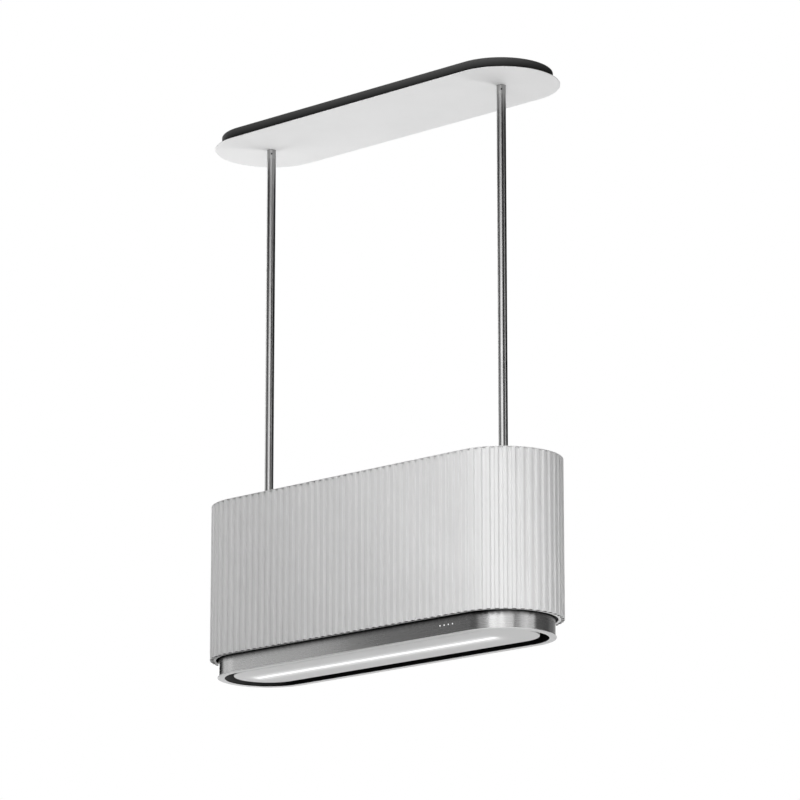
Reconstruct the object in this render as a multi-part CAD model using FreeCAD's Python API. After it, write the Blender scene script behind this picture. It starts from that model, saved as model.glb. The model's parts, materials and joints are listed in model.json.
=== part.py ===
import FreeCAD, Part
import math
import os

# Island range hood hung from the ceiling on two rods, modelled as separate pieces.
# Millimetres.  +Z is up, X runs along the long side, the control side faces -Y.
# The origin is the middle of the ceiling bracket's upper face, so the hood lies below z = 0.
# Plan outlines are stadiums: two straight sides joined by half circles as wide as the outline.

V = FreeCAD.Vector

# ---- driving dimensions -------------------------------------------------------------------
total_drop = 1190.4            # ceiling to the underside of the rim
steel = 1.2                    # folded sheet used for most of the structure
deck_sheet = 1.5               # heavier sheet of the decks, flanges and folded strips

# ceiling canopy
housing_length = 872.0
housing_width = 220.0
housing_height = 24.6
cover_length = 904.0
cover_width = 242.5
cover_thickness = 1.2
bracket_length = 780.0
bracket_width = 120.0
bracket_thickness = 2.0
bracket_depth = 14.0           # depth of the bracket's folded sides
lug_x = 250.0                  # half spacing of the lugs that the housing hangs from
lug_half = 12.0
lug_end = 104.0
cable_entry_radius = 12.0
ceiling_hole_x = 300.0         # half spacing of the ceiling holes
ceiling_hole_y = 45.0
ceiling_hole_radius = 4.0

# suspension rods
rod_x = 329.2                  # half spacing
rod_radius = 9.5
rod_wall = 1.5
socket_radius = 9.6
socket_drop = 20.0             # how far the sockets show below the cover
socket_bore = 5.0              # radius of the hole through a socket
socket_flange_radius = 22.0
socket_flange_bottom = -6.0
socket_screw_circle = 16.0
socket_screw_angles = (45, 135, 225, 315)
spigot_length = 30.0
grub_screw_rise = 10.0         # grub screw above the socket's lower end
grub_screw_turn = 45.0         # degrees from the front towards the right
screw_hole = 2.0               # radius of the clearance holes of the M4 screws
screw_shank = 1.95
screw_length = 5.8

# fluted shroud
shroud_length = 900.0
shroud_width = 246.6
shroud_height = 330.5
rim_below_shroud = 37.3
flute_count = 118
flute_depth = 6.0
flute_flat = 7.0               # width of the flat crest, and of the flat valley
flute_start = -0.25            # crest nearest the front middle, in pitches along X
shroud_sheet = 1.0
top_ring = 1.0                 # flat ring that closes the upper ends of the flutes
frame_leg = 20.0               # height of the round frames inside the shroud

# steel body below and inside the shroud
band_length = 864.0
band_width = 206.0
band_height = 83.0
rim_length = 868.0
rim_width = 210.0
rim_thickness = 2.0
slot_outer_length = 837.2      # inner edge of the rim
slot_outer_width = 180.8
panel_length = 799.8
panel_width = 143.1
panel_depth = 13.9
panel_recess = 4.5             # panel face above the rim's underside

# light strip in the panel
light_left = -360.0
light_right = 307.0
light_width = 24.0

# touch controls on the front of the band
dot_first_x = 247.7
dot_pitch = 11.1
dot_count = 4
dot_radius = 1.7
bar_x = 300.7
bar_half_width = 0.5
bar_half_height = 3.5
arc_x = 319.5
arc_radius = 4.0
control_above_rim = 21.0

# levels worked out from the sizes above
cover_bottom = -(housing_height + cover_thickness)
cover_inside = -housing_height           # the housing stands on the cover's inner face
rim_bottom = -total_drop
rim_top = rim_bottom + rim_thickness
shroud_bottom = rim_bottom + rim_below_shroud
shroud_top = shroud_bottom + shroud_height
panel_bottom = rim_bottom + panel_recess
panel_top = panel_bottom + panel_depth
band_top = rim_top + band_height
frame_level = rim_bottom + 38.9          # underside of the filter frame
top_cover_level = shroud_top - 3.0       # upper face of the top cover
top_deck_level = top_cover_level - 25.4
plenum_level = top_deck_level - 45.5     # upper face of the blower deck
plenum_under = plenum_level - deck_sheet

# the round frames stand just inside the flat valleys of the shroud
frame_play = 0.15
frame_inset = flute_depth + shroud_sheet + frame_play
frame_length = shroud_length - 2 * frame_inset
frame_width = shroud_width - 2 * frame_inset

# chassis outline fits inside the band
chassis_length = band_length - 3.0
chassis_width = band_width - 3.0

# panel hinge
hinge_y = 61.0
hinge_z = panel_bottom + 6.9
hinge_x = 345.0
hinge_leaf = 3.0               # thickness of the hanging leaf
hinge_leaf_half = 5.0          # half its width, and the radius of its eye
pin_radius = 2.0
pin_play = 0.05

# disc magnets that hold the ceiling cover and catch the panel
magnet_radius = 3.6
magnet_height = 5.0

# blower
blower_z = plenum_level - 109.5
blower_half = 100.0
impeller_radius = 70.0
impeller_half = 85.0
blade_count = 36
shaft_radius = 4.0
buffer_height = 8.0
motor_radius = 42.0

# grease filters
filter_length = 308.0
filter_width = 148.0
filter_thickness = 11.0
filter_x = 162.0               # centre of each filter
latch_travel = 5.0


# ---- shape helpers ------------------------------------------------------------------------
def box(x0, x1, y0, y1, z0, z1):
    return Part.makeBox(x1 - x0, y1 - y0, z1 - z0, V(x0, y0, z0))


def post(radius, x, y, z0, z1):
    return Part.makeCylinder(radius, z1 - z0, V(x, y, z0))


def bar_x_axis(radius, x0, x1, y, z):
    return Part.makeCylinder(radius, x1 - x0, V(x0, y, z), V(1, 0, 0))


def bar_y_axis(radius, x, y0, y1, z):
    return Part.makeCylinder(radius, y1 - y0, V(x, y0, z), V(0, 1, 0))


def stadium(length, width, z0, z1):
    r = width / 2.0
    h = length / 2.0 - r
    edges = [
        Part.LineSegment(V(-h, -r, z0), V(h, -r, z0)).toShape(),
        Part.Arc(V(h, -r, z0), V(h + r, 0, z0), V(h, r, z0)).toShape(),
        Part.LineSegment(V(h, r, z0), V(-h, r, z0)).toShape(),
        Part.Arc(V(-h, r, z0), V(-h - r, 0, z0), V(-h, -r, z0)).toShape(),
    ]
    return Part.Face(Part.Wire(edges)).extrude(V(0, 0, z1 - z0))


def stadium_ring(length, width, wall, z0, z1):
    inner = stadium(length - 2 * wall, width - 2 * wall, z0 - 1, z1 + 1)
    return stadium(length, width, z0, z1).cut(inner)


def slot_between(x0, x1, y, width, z0, z1):
    """Upright rounded bar from x0 to x1, used for slots and for what fills them."""
    r = width / 2.0
    body = box(x0 + r, x1 - r, y - r, y + r, z0, z1)
    body = body.fuse(post(r, x0 + r, y, z0, z1))
    return body.fuse(post(r, x1 - r, y, z0, z1)).removeSplitter()


def polygon_x(points, x0, x1):
    """Extrude a (y, z) outline from x0 to x1."""
    wire = Part.makePolygon([V(x0, y, z) for y, z in points] + [V(x0, *points[0])])
    return Part.Face(wire).extrude(V(x1 - x0, 0, 0))


def hexagon(across_flats, x, y, z0, z1):
    corner = across_flats / math.sqrt(3.0)
    points = []
    for i in range(7):
        a = math.radians(60 * i)
        points.append(V(x + corner * math.cos(a), y + corner * math.sin(a), z0))
    return Part.Face(Part.makePolygon(points)).extrude(V(0, 0, z1 - z0))


def drill(shape, *tools):
    for tool in tools:
        shape = shape.cut(tool)
    return shape


def join(*shapes):
    whole = shapes[0]
    for shape in shapes[1:]:
        whole = whole.fuse(shape)
    return whole.removeSplitter()


def group(shapes):
    return Part.makeCompound(shapes)


def mirrored_x(shape):
    return shape.mirror(V(0, 0, 0), V(1, 0, 0))


def both_ends(shape):
    return [shape, mirrored_x(shape)]


def screw_down(x, y, under_head, length, radius=2.0):
    """Pan-head screw whose shank points down from the level under its head."""
    head = post(radius * 1.9, x, y, under_head, under_head + radius * 1.2)
    head = head.cut(hexagon(radius * 1.5, x, y, under_head + radius * 0.5, under_head + radius * 2))
    return join(head, post(radius, x, y, under_head - length, under_head + 0.1))


def screw_up(x, y, under_head, length, radius=2.0):
    """Pan-head screw whose shank points up from the level under its head."""
    return screw_down(x, y, 0, length, radius).mirror(V(0, 0, 0), V(0, 0, 1)).translated(
        V(0, 0, under_head))


# ---- ceiling canopy -----------------------------------------------------------------------
def ceiling_bracket():
    half_x = bracket_length / 2.0
    half_y = bracket_width / 2.0
    web = box(-half_x, half_x, -half_y, half_y, -bracket_thickness, 0)
    for side in (-1, 1):
        y0 = side * half_y
        y1 = side * (half_y - bracket_thickness)
        web = web.fuse(box(-half_x, half_x, min(y0, y1), max(y0, y1),
                           -bracket_depth, -bracket_thickness))
        lug = box(-lug_half, lug_half, min(y0, side * lug_end), max(y0, side * lug_end),
                  -bracket_thickness, 0)
        web = web.fuse(lug.translated(V(-lug_x, 0, 0))).fuse(lug.translated(V(lug_x, 0, 0)))
    web = web.removeSplitter()
    for x in (-ceiling_hole_x, ceiling_hole_x):
        for y in (-ceiling_hole_y, ceiling_hole_y):
            web = web.cut(post(ceiling_hole_radius, x, y, -bracket_thickness - 1, 1))
    # supply cable entry in the middle, and clearance into each socket's bore
    web = web.cut(post(cable_entry_radius, 0, 0, -bracket_thickness - 1, 1))
    for x in (-rod_x, rod_x):
        web = web.cut(post(socket_bore, x, 0, -bracket_thickness - 1, 1))
        for ax, ay in socket_screw_places(x):
            web = web.cut(post(screw_hole, ax, ay, -bracket_thickness - 1, 1))
    return web


def socket_screw_places(x):
    places = []
    for angle in socket_screw_angles:
        a = math.radians(angle)
        places.append((x + socket_screw_circle * math.cos(a), socket_screw_circle * math.sin(a)))
    return places


def ceiling_housing():
    """Stadium ring with a flange turned in at the bottom and at the top."""
    lower_flange = 9
    upper_flange = 7
    ring = stadium_ring(housing_length, housing_width, deck_sheet, cover_inside, 0)
    lower = stadium_ring(housing_length - 2, housing_width - 2, lower_flange, cover_inside,
                         cover_inside + deck_sheet)
    upper = stadium_ring(housing_length - 2, housing_width - 2, upper_flange, -deck_sheet, 0)
    ring = join(ring, lower, upper)
    # notches that clear the four lugs of the bracket
    notch = lug_half + 0.5
    notch_bottom = -bracket_thickness - 0.5
    for x in (-lug_x, lug_x):
        for y in (-100, 100):
            ring = ring.cut(box(x - notch, x + notch, y - 8, y + 8, notch_bottom, 1))
    return ring


terminal_left = -110.0
terminal_right = -30.0
terminal_half = 22.0
terminal_bottom = -16.0
terminal_wall = 2.0
gland_radius = 5.6
gland_z = -9.2
gland_nut_radius = 6.6
gland_bore = 3.5


def terminal_block(inset, z0, z1):
    """Box in the plan of the terminal box, moved inward by inset on all four sides."""
    return box(terminal_left + inset, terminal_right - inset, -terminal_half + inset,
               terminal_half - inset, z0, z1)


def terminal_box():
    outer = terminal_block(0, terminal_bottom, -bracket_thickness)
    inner = terminal_block(terminal_wall, terminal_bottom - 1, -bracket_thickness - terminal_wall)
    gland_hole = bar_x_axis(gland_radius, terminal_right - 4, terminal_right + 2, 0, gland_z)
    return outer.cut(inner).cut(gland_hole)


def terminal_box_lid():
    lid = terminal_block(0, terminal_bottom - terminal_wall, terminal_bottom)
    plug = terminal_block(terminal_wall + 0.2, terminal_bottom, terminal_bottom + 1)
    return join(lid, plug)


def supply_gland():
    barrel = bar_x_axis(gland_radius - 0.1, terminal_right - 3, terminal_right + 4, 0, gland_z)
    nut = bar_x_axis(gland_nut_radius, terminal_right + 0.1, terminal_right + 12, 0, gland_z)
    bore = bar_x_axis(gland_bore, terminal_right - 4, terminal_right + 13, 0, gland_z)
    return join(barrel, nut).cut(bore)


def ceiling_cover():
    """Flat sheet with a softened lower edge and a hole for each rod socket."""
    plate = stadium(cover_length, cover_width, cover_bottom, cover_inside)
    lower = [e for e in plate.Edges if e.BoundBox.ZMax < cover_bottom + 0.01]
    plate = plate.makeFillet(0.8, lower)
    for x in (-rod_x, rod_x):
        plate = plate.cut(post(socket_radius + 0.4, x, 0, cover_bottom - 1, 0))
    return plate


bushing_radius = 14.0
bushing_height = 7.8


def cover_bushings():
    rings = []
    for x in (-rod_x, rod_x):
        ring = post(bushing_radius, x, 0, cover_inside, cover_inside + bushing_height)
        rings.append(ring.cut(post(socket_radius + 0.08, x, 0, cover_inside - 1, 0)))
    return group(rings)


# ---- rods ---------------------------------------------------------------------------------
socket_bottom = cover_bottom - socket_drop
rod_bottom = top_deck_level
spigot_radius = rod_radius - rod_wall
grub_screw_z = socket_bottom + grub_screw_rise


def grub_screw_bar(radius, x, y_from, y_to):
    """A bar through one side of the socket at x, turned to the grub screw's direction."""
    bar = bar_y_axis(radius, x, y_from, y_to, grub_screw_z)
    bar.rotate(V(x, 0, 0), V(0, 0, 1), grub_screw_turn)
    return bar


def rod_sockets():
    """Flanged sockets screwed to the bracket, each with a spigot that goes down into its rod."""
    sockets = []
    for x in (-rod_x, rod_x):
        barrel = post(socket_radius, x, 0, socket_bottom, socket_flange_bottom)
        flange = post(socket_flange_radius, x, 0, socket_flange_bottom, -bracket_thickness)
        spigot = post(spigot_radius, x, 0, socket_bottom - spigot_length, socket_bottom + 1)
        socket = join(barrel, flange, spigot)
        socket = socket.cut(post(socket_bore, x, 0, socket_bottom - spigot_length - 1, 0))
        socket = socket.cut(grub_screw_bar(screw_hole, x, -12, -socket_bore))
        for ax, ay in socket_screw_places(x):
            socket = socket.cut(post(screw_hole, ax, ay, socket_flange_bottom - 1, 0))
        sockets.append(socket)
    return group(sockets)


def m4_screws():
    """Identical pan-head screws that hold the sockets and the top deck."""
    screws = []
    for x in (-rod_x, rod_x):
        for ax, ay in socket_screw_places(x):
            screws.append(screw_up(ax, ay, socket_flange_bottom, screw_length, screw_shank))
    for x, y in deck_screw_places():
        screws.append(screw_down(x, y, top_deck_level, screw_length, screw_shank))
    return group(screws)


def grub_screws():
    screws = []
    for x in (-rod_x, rod_x):
        screws.append(grub_screw_bar(screw_hole - 0.02, x, -socket_radius + 0.4,
                                     -spigot_radius + 0.01))
    return group(screws)


def rod(x):
    tube = post(rod_radius, x, 0, rod_bottom, socket_bottom)
    return tube.cut(post(rod_radius - rod_wall, x, 0, rod_bottom - 1, socket_bottom + 1))


def rod_left():
    return rod(-rod_x)


def rod_right():
    return rod(rod_x)


stud_radius = 6.0
stud_bore = 3.5
stud_rise = 35.0               # upper end of the stud, inside the rod
stud_reach = 24.0              # lower end of the stud, below the top deck
washer_radius = 12.0
washer_thickness = 2.5
nut_across = 19.0
nut_height = 10.0
bar_web_level = top_deck_level - deck_sheet     # underside of the top deck, where the bars sit
bar_wall = 3.0                 # channel under the top deck that each rod hangs on
bar_half = 22.0
bar_reach = 88.0
bar_depth = 28.0


def rod_studs():
    studs = []
    for x in (-rod_x, rod_x):
        stud = post(spigot_radius, x, 0, rod_bottom, rod_bottom + stud_rise)
        stud = join(stud, post(stud_radius, x, 0, bar_web_level - stud_reach, rod_bottom))
        studs.append(stud.cut(post(stud_bore, x, 0, bar_web_level - stud_reach - 1,
                                   rod_bottom + stud_rise + 1)))
    return group(studs)


def rod_nuts():
    """Washer and hexagon nut that draw each rod down on its suspension bar."""
    parts = []
    washer_top = bar_web_level - bar_wall
    nut_top = washer_top - washer_thickness
    nut_bottom = nut_top - nut_height
    for x in (-rod_x, rod_x):
        hole = post(stud_radius, x, 0, nut_bottom - 1, 0)
        parts.append(post(washer_radius, x, 0, nut_top, washer_top).cut(hole))
        parts.append(hexagon(nut_across, x, 0, nut_bottom, nut_top).cut(hole))
    return group(parts)


grommet_radius = 12.5
grommet_waist = 11.0           # radius of the groove that grips the top cover


def rod_grommets():
    rings = []
    z1 = top_cover_level + 1.6
    z0 = top_cover_level - 4.0
    for x in (-rod_x, rod_x):
        ring = post(grommet_radius, x, 0, z0, z1)
        groove = post(grommet_radius + 1, x, 0, top_cover_level - deck_sheet, top_cover_level)
        ring = ring.cut(groove.cut(post(grommet_waist, x, 0, z0, z1)))
        rings.append(ring.cut(post(rod_radius, x, 0, z0 - 1, z1 + 1)))
    return group(rings)


# ---- chassis ------------------------------------------------------------------------------
def suspension_bar(x):
    top = bar_web_level
    inner = bar_half - bar_wall
    bar = box(x - bar_half, x + bar_half, -bar_reach, bar_reach, top - bar_depth, top)
    return bar.cut(box(x - inner, x + inner, -bar_reach - 1, bar_reach + 1,
                       top - bar_depth - 1, top - bar_wall))


def top_deck():
    """Deck over the chassis with a channel welded across it under each rod."""
    top = top_deck_level
    deck = stadium(chassis_length, chassis_width, top - deck_sheet, top)
    deck = join(deck, suspension_bar(-rod_x), suspension_bar(rod_x))
    for x in (-rod_x, rod_x):
        deck = deck.cut(post(stud_radius, x, 0, top - 6, top + 1))
    for x in (-filter_x, filter_x):
        deck = deck.cut(box(x - 105, x + 105, -65, 65, top - 2, top + 1))
    for x, y in deck_screw_places():
        deck = deck.cut(post(screw_hole, x, y, top - 2, top + 1))
    return deck


def deck_screw_places():
    return [(x, side * 94.0) for x in (-280, -20, 20, 280) for side in (-1, 1)]


def chassis_shell():
    """Inner steel body, with a folded ledge at the top that carries the top deck's screws."""
    ledge_width = 13
    z1 = bar_web_level
    shell = stadium_ring(chassis_length, chassis_width, steel, frame_level + deck_sheet, z1)
    ledge = stadium_ring(chassis_length, chassis_width, ledge_width, z1 - deck_sheet, z1)
    # the ledge stops short of the suspension bars
    clear_x = bar_half + 1
    clear_y = bar_reach + 1
    for x in (-rod_x, rod_x):
        ledge = ledge.cut(box(x - clear_x, x + clear_x, -clear_y, clear_y, z1 - 2, z1 + 1))
    for x, y in deck_screw_places():
        ledge = ledge.cut(post(screw_hole, x, y, z1 - 2, z1 + 1))
    return join(shell, ledge)


def plenum_deck():
    """Deck that carries the blower, with a low skirt against the chassis and the air opening."""
    skirt_height = 12
    top = plenum_level
    outer_length = chassis_length - 2 * steel
    outer_width = chassis_width - 2 * steel
    deck = stadium(outer_length, outer_width, plenum_under, top)
    skirt = stadium_ring(outer_length, outer_width, steel, top, top + skirt_height)
    deck = join(deck, skirt)
    deck = deck.cut(box(-98, 98, -94.8, 16.8, top - 2, top + 1))
    for x, y in buffer_places():
        deck = deck.cut(post(3.0, x, y, top - 2, top + 1))
    return deck


def top_cover():
    """Plate that lies inside the upper frame, cut out for the rods and the carbon filters."""
    top = top_cover_level
    inset = deck_sheet + 0.3
    cover = stadium(frame_length - 2 * inset, frame_width - 2 * inset, top - deck_sheet, top)
    for x in (-rod_x, rod_x):
        cover = cover.cut(post(grommet_waist, x, 0, top - 2, top + 1))
    for x in (-filter_x, filter_x):
        cover = cover.cut(box(x - 116, x + 116, -76, 76, top - 2, top + 1))
    return cover


def outlet_grille(x):
    """Slotted plate that lies on the top cover and lifts out over a carbon filter."""
    z0 = top_cover_level
    plate = box(x - 124, x + 124, -84, 84, z0, z0 + 1.5)
    upright = [e for e in plate.Edges if e.BoundBox.ZLength > 1]
    plate = plate.makeFillet(8, upright)
    rim = box(x - 115.6, x + 115.6, -75.6, 75.6, z0 - 3, z0)
    rim = rim.cut(box(x - 114.4, x + 114.4, -74.4, 74.4, z0 - 4, z0 + 1))
    plate = join(plate, rim)
    columns = 2
    rows = 11
    tools = []
    for column in range(columns):
        for row in range(rows):
            x0 = x - 106 + column * 110
            y = (row - (rows - 1) / 2.0) * 12.6
            tools.append(slot_between(x0, x0 + 102, y, 6.0, z0 - 1, z0 + 2))
    return plate.cut(Part.makeCompound(tools))


def outlet_grilles():
    return group([outlet_grille(-filter_x), outlet_grille(filter_x)])


def carbon_filters():
    frames = []
    z0 = top_deck_level
    for x in (-filter_x, filter_x):
        frame = box(x - 113, x + 113, -73, 73, z0, z0 + 20)
        frame = frame.cut(box(x - 110, x + 110, -70, 70, z0 + 1.2, z0 + 21))
        frame = frame.cut(box(x - 102, x + 102, -62, 62, z0 - 1, z0 + 2))
        ribs = []
        for k in range(1, 6):
            rx = x - 102 + k * 34
            ribs.append(box(rx - 1, rx + 1, -63, 63, z0, z0 + 1.2))
        frames.append(join(frame, *ribs))
    return group(frames)


def carbon_pads():
    z0 = top_deck_level + 1.2
    return group([box(x - 109.5, x + 109.5, -69.5, 69.5, z0, z0 + 17)
                  for x in (-filter_x, filter_x)])


# ---- fluted shroud ------------------------------------------------------------------------
def along_stadium(s, length, width, inward):
    """Point at distance s along a stadium from its front middle, moved inward by a distance."""
    r = width / 2.0
    h = length / 2.0 - r
    loop = 4 * h + 2 * math.pi * r
    s = s % loop
    quarter_ends = (h, h + math.pi * r, 3 * h + math.pi * r, 3 * h + 2 * math.pi * r)
    if s <= quarter_ends[0]:
        return (s, -(r - inward))
    if s <= quarter_ends[1]:
        a = (s - quarter_ends[0]) / r
        return (h + (r - inward) * math.sin(a), -(r - inward) * math.cos(a))
    if s <= quarter_ends[2]:
        return (h - (s - quarter_ends[1]), r - inward)
    if s <= quarter_ends[3]:
        a = (s - quarter_ends[2]) / r
        return (-h - (r - inward) * math.sin(a), (r - inward) * math.cos(a))
    return (s - loop, -(r - inward))


def fluted_face(inward, z):
    """Closed fluted outline: flat crests and flat valleys joined by steep walls."""
    r = shroud_width / 2.0
    loop = 2 * (shroud_length - shroud_width) + 2 * math.pi * r
    pitch = loop / flute_count
    half = flute_flat / 2.0
    points = []
    for k in range(flute_count):
        middle = (k + flute_start) * pitch
        corners = (
            (middle - half, 0.0),
            (middle + half, 0.0),
            (middle + pitch / 2.0 - half, flute_depth),
            (middle + pitch / 2.0 + half, flute_depth),
        )
        for s, depth in corners:
            x, y = along_stadium(s, shroud_length, shroud_width, depth + inward)
            points.append(V(x, y, z))
    points.append(points[0])
    return Part.Face(Part.makePolygon(points))


def fluted_shroud():
    height = V(0, 0, shroud_height - top_ring)
    outer = fluted_face(0.0, shroud_bottom).extrude(height)
    inner = fluted_face(shroud_sheet, shroud_bottom).extrude(height)
    return outer.cut(inner)


def shroud_top_frame():
    """Round frame with a ledge for the top cover and a flat ring over the ends of the flutes."""
    ledge_width = 9
    ledge_top = top_cover_level - deck_sheet
    ring_bottom = shroud_top - top_ring
    ring_width = frame_inset + deck_sheet
    leg = stadium_ring(frame_length, frame_width, deck_sheet, ledge_top - frame_leg, ring_bottom)
    ledge = stadium_ring(frame_length, frame_width, ledge_width, ledge_top - deck_sheet, ledge_top)
    ring = stadium_ring(shroud_length, shroud_width, ring_width, ring_bottom, shroud_top)
    return join(leg, ledge, ring)


def shroud_bottom_frame():
    lip_width = 6
    leg = stadium_ring(frame_length, frame_width, deck_sheet, shroud_bottom,
                       shroud_bottom + frame_leg)
    lip = stadium_ring(frame_length, frame_width, lip_width, shroud_bottom,
                       shroud_bottom + deck_sheet)
    return join(leg, lip)


def bracket_places():
    return [(x, side) for x in (-240, 0, 240) for side in (-1, 1)]


def trough_outline(y_in, y_out, web, end):
    """Folded strip with both legs up."""
    t = deck_sheet
    return [(y_in, end), (y_in, web), (y_out, web), (y_out, end),
            (y_out - t, end), (y_out - t, web + t), (y_in + t, web + t), (y_in + t, end)]


def step_outline(y_in, y_out, inner_end, web, outer_end):
    """Folded strip with its inner leg down and its outer leg up."""
    t = deck_sheet
    return [(y_in, inner_end), (y_in, web + t), (y_out - t, web + t), (y_out - t, outer_end),
            (y_out, outer_end), (y_out, web), (y_in + t, web), (y_in + t, inner_end)]


def shroud_brackets():
    """Folded strips from the band to the lower frame, and from the chassis to the upper one."""
    y_out = frame_width / 2.0 - deck_sheet
    lower = trough_outline(band_width / 2.0, y_out, shroud_bottom + 6, shroud_bottom + 19)
    upper = step_outline(chassis_width / 2.0, y_out, top_deck_level - 20, top_deck_level - 5,
                         top_cover_level - 8)
    parts = []
    for x, side in bracket_places():
        for outline in (lower, upper):
            parts.append(polygon_x([(side * y, z) for y, z in outline], x - 15, x + 15))
    return group(parts)


# ---- steel band, rim and suction slot -----------------------------------------------------
control_z = rim_bottom + control_above_rim
band_front = -band_width / 2.0
touch_board_front = band_front + steel + 0.8


def control_shapes(extra, y0, y1):
    """Dots, bar and arc of the touch controls, from y0 to y1, grown by extra all round."""
    shapes = []
    for i in range(dot_count):
        shapes.append(bar_y_axis(dot_radius + extra, dot_first_x + i * dot_pitch, y0, y1, control_z))
    half = bar_half_width + extra
    tall = bar_half_height + extra
    shapes.append(box(bar_x - half, bar_x + half, y0, y1, control_z - tall, control_z + tall))
    ring = bar_y_axis(arc_radius + extra, arc_x, y0, y1, control_z)
    ring = ring.cut(bar_y_axis(arc_radius - 1.0 - extra, arc_x, y0 - 1, y1 + 1, control_z))
    # the ring is open on its left, so the metal inside it stays joined to the band
    past = arc_radius + 2
    ring = ring.cut(box(arc_x - past, arc_x - 1.5 - extra, y0 - 1, y1 + 1,
                        control_z - past, control_z + past))
    shapes.append(ring)
    return shapes


def steel_band():
    band = stadium_ring(band_length, band_width, steel, rim_top, band_top)
    return drill(band, *control_shapes(0.05, band_front - 1, band_front + steel + 1))


def touch_light_guides():
    return group(control_shapes(0.0, band_front - 0.05, touch_board_front))


def touch_board():
    """Board behind the band with a chip and a plug on its back."""
    y0 = touch_board_front
    board = box(236, 332, y0, y0 + 1.6, control_z - 10, control_z + 10)
    chip = box(276, 290, y0 + 1.6, y0 + 3.0, control_z - 6, control_z + 6)
    plug = box(312, 326, y0 + 1.6, y0 + 6.0, control_z - 4, control_z + 4)
    return join(board, chip, plug)


def rim():
    width = (rim_length - slot_outer_length) / 2.0
    leg_height = 8
    inset = steel + 0.1
    plate = stadium_ring(rim_length, rim_width, width, rim_bottom, rim_top)
    leg = stadium_ring(band_length - 2 * inset, band_width - 2 * inset, steel, rim_top,
                       rim_top + leg_height)
    return join(plate, leg)


def suction_liner():
    return stadium_ring(slot_outer_length + 2 * steel, slot_outer_width + 2 * steel, steel,
                        rim_top, frame_level)


# ---- filter frame, grease filters and their latches -----------------------------------------
pocket_top = frame_level + filter_thickness + 1.0


def filter_frame():
    """Deck under the blower room with a raised pocket for each grease filter."""
    deck = stadium(chassis_length, chassis_width, frame_level, frame_level + deck_sheet)
    for x in (-filter_x, filter_x):
        half_x = filter_length / 2.0 + 1.0
        half_y = filter_width / 2.0 + 1.0
        pocket = box(x - half_x - steel, x + half_x + steel, -half_y - steel, half_y + steel,
                     frame_level, pocket_top + steel)
        deck = deck.fuse(pocket)
        deck = deck.cut(box(x - half_x, x + half_x, -half_y, half_y, frame_level - 1, pocket_top))
        deck = deck.cut(box(x - half_x + 6, x + half_x - 6, -half_y + 6, half_y - 6,
                            pocket_top - 1, pocket_top + 2))
    # slots in the two inner pocket walls for the latch tongues
    for side in (-1, 1):
        wall = side * (filter_x - filter_length / 2.0 - 1.0)
        deck = deck.cut(box(wall - 2.5, wall + 2.5, -6.5, 6.5, frame_level + 2.4, frame_level + 5.6))
    return deck.removeSplitter()


def grease_filter_frame(x):
    z0 = frame_level
    z1 = z0 + filter_thickness
    half_x = filter_length / 2.0
    half_y = filter_width / 2.0
    frame = box(x - half_x, x + half_x, -half_y, half_y, z0, z1)
    frame = frame.cut(box(x - half_x + 1, x + half_x - 1, -half_y + 1, half_y - 1, z0 + 1, z1 - 1))
    window = box(x - half_x + 11, x + half_x - 11, -half_y + 11, half_y - 11, z0 - 1, z1 + 1)
    frame = frame.cut(window)
    inner = 1 if x < 0 else -1
    edge = x + inner * half_x
    # passage for the latch through the inner edge, and the finger slot below it
    x0, x1 = sorted((edge - inner * 26, edge + inner * 1))
    frame = frame.cut(box(x0, x1, -6.1, 6.1, z0 + 2.45, z0 + 5.55))
    x0, x1 = sorted((edge - inner * 22, edge - inner * 7))
    return frame.cut(box(x0, x1, -4.1, 4.1, z0 - 1, z0 + 3))


def filter_left_frame():
    return grease_filter_frame(-filter_x)


def filter_right_frame():
    return grease_filter_frame(filter_x)


def filter_meshes():
    """Two expanded aluminium layers in each filter, the lower one pressed into ridges."""
    pads = []
    for x in (-filter_x, filter_x):
        x0 = x - filter_length / 2.0 + 1.2
        x1 = x + filter_length / 2.0 - 1.2
        y = filter_width / 2.0 - 1.2
        inner = 1 if x < 0 else -1
        pad = box(x0, x1, -y, y, frame_level + 5.7, frame_level + filter_thickness - 1.1)
        lower = box(x0, x1, -y, y, frame_level + 1.1, frame_level + 5.7)
        edge = x + inner * filter_length / 2.0
        a, b = sorted((edge - inner * 31, edge))
        lower = lower.cut(box(a, b, -8, 8, frame_level, frame_level + 7))
        pads.append(join(pad, lower))
    return group(pads)


def latch(side):
    """Sliding tongue in the inner edge of a grease filter, with a finger tab below."""
    outward = -side               # the tongue points to the middle of the hood
    edge = side * (filter_x - filter_length / 2.0)
    z0 = frame_level + 2.6
    a, b = sorted((edge + side * 19.0, edge + outward * 3.0))
    tongue = box(a, b, -5.9, 5.9, z0, z0 + 2.8)
    c, d = sorted((edge + side * 14.5, edge + side * 8.5))
    tab = box(c, d, -3.9, 3.9, frame_level - 4.0, z0)
    return join(tongue, tab)


def filter_latch_left():
    return latch(-1)


def filter_latch_right():
    return latch(1)


# ---- blower -------------------------------------------------------------------------------
outlet_left = -96.0
outlet_right = 18.0
outlet_top = plenum_under - blower_z
inlet_radius = 58.0


def scroll_wire(x):
    """Volute outline in the (y, z) plane: three growing arcs, then straight up to the outlet."""
    def at(y, z):
        return V(x, y, blower_z + z)
    edges = [
        Part.LineSegment(at(outlet_left, outlet_top), at(outlet_left, 0)).toShape(),
        Part.Arc(at(outlet_left, 0), at(-66, -66.5), at(0, -92)).toShape(),
        Part.Arc(at(0, -92), at(63, -63), at(88, 0)).toShape(),
        Part.Arc(at(88, 0), at(61, 59), at(outlet_right, 78)).toShape(),
        Part.LineSegment(at(outlet_right, 78), at(outlet_right, outlet_top)).toShape(),
        Part.LineSegment(at(outlet_right, outlet_top), at(outlet_left, outlet_top)).toShape(),
    ]
    return Part.Wire(edges)


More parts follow.
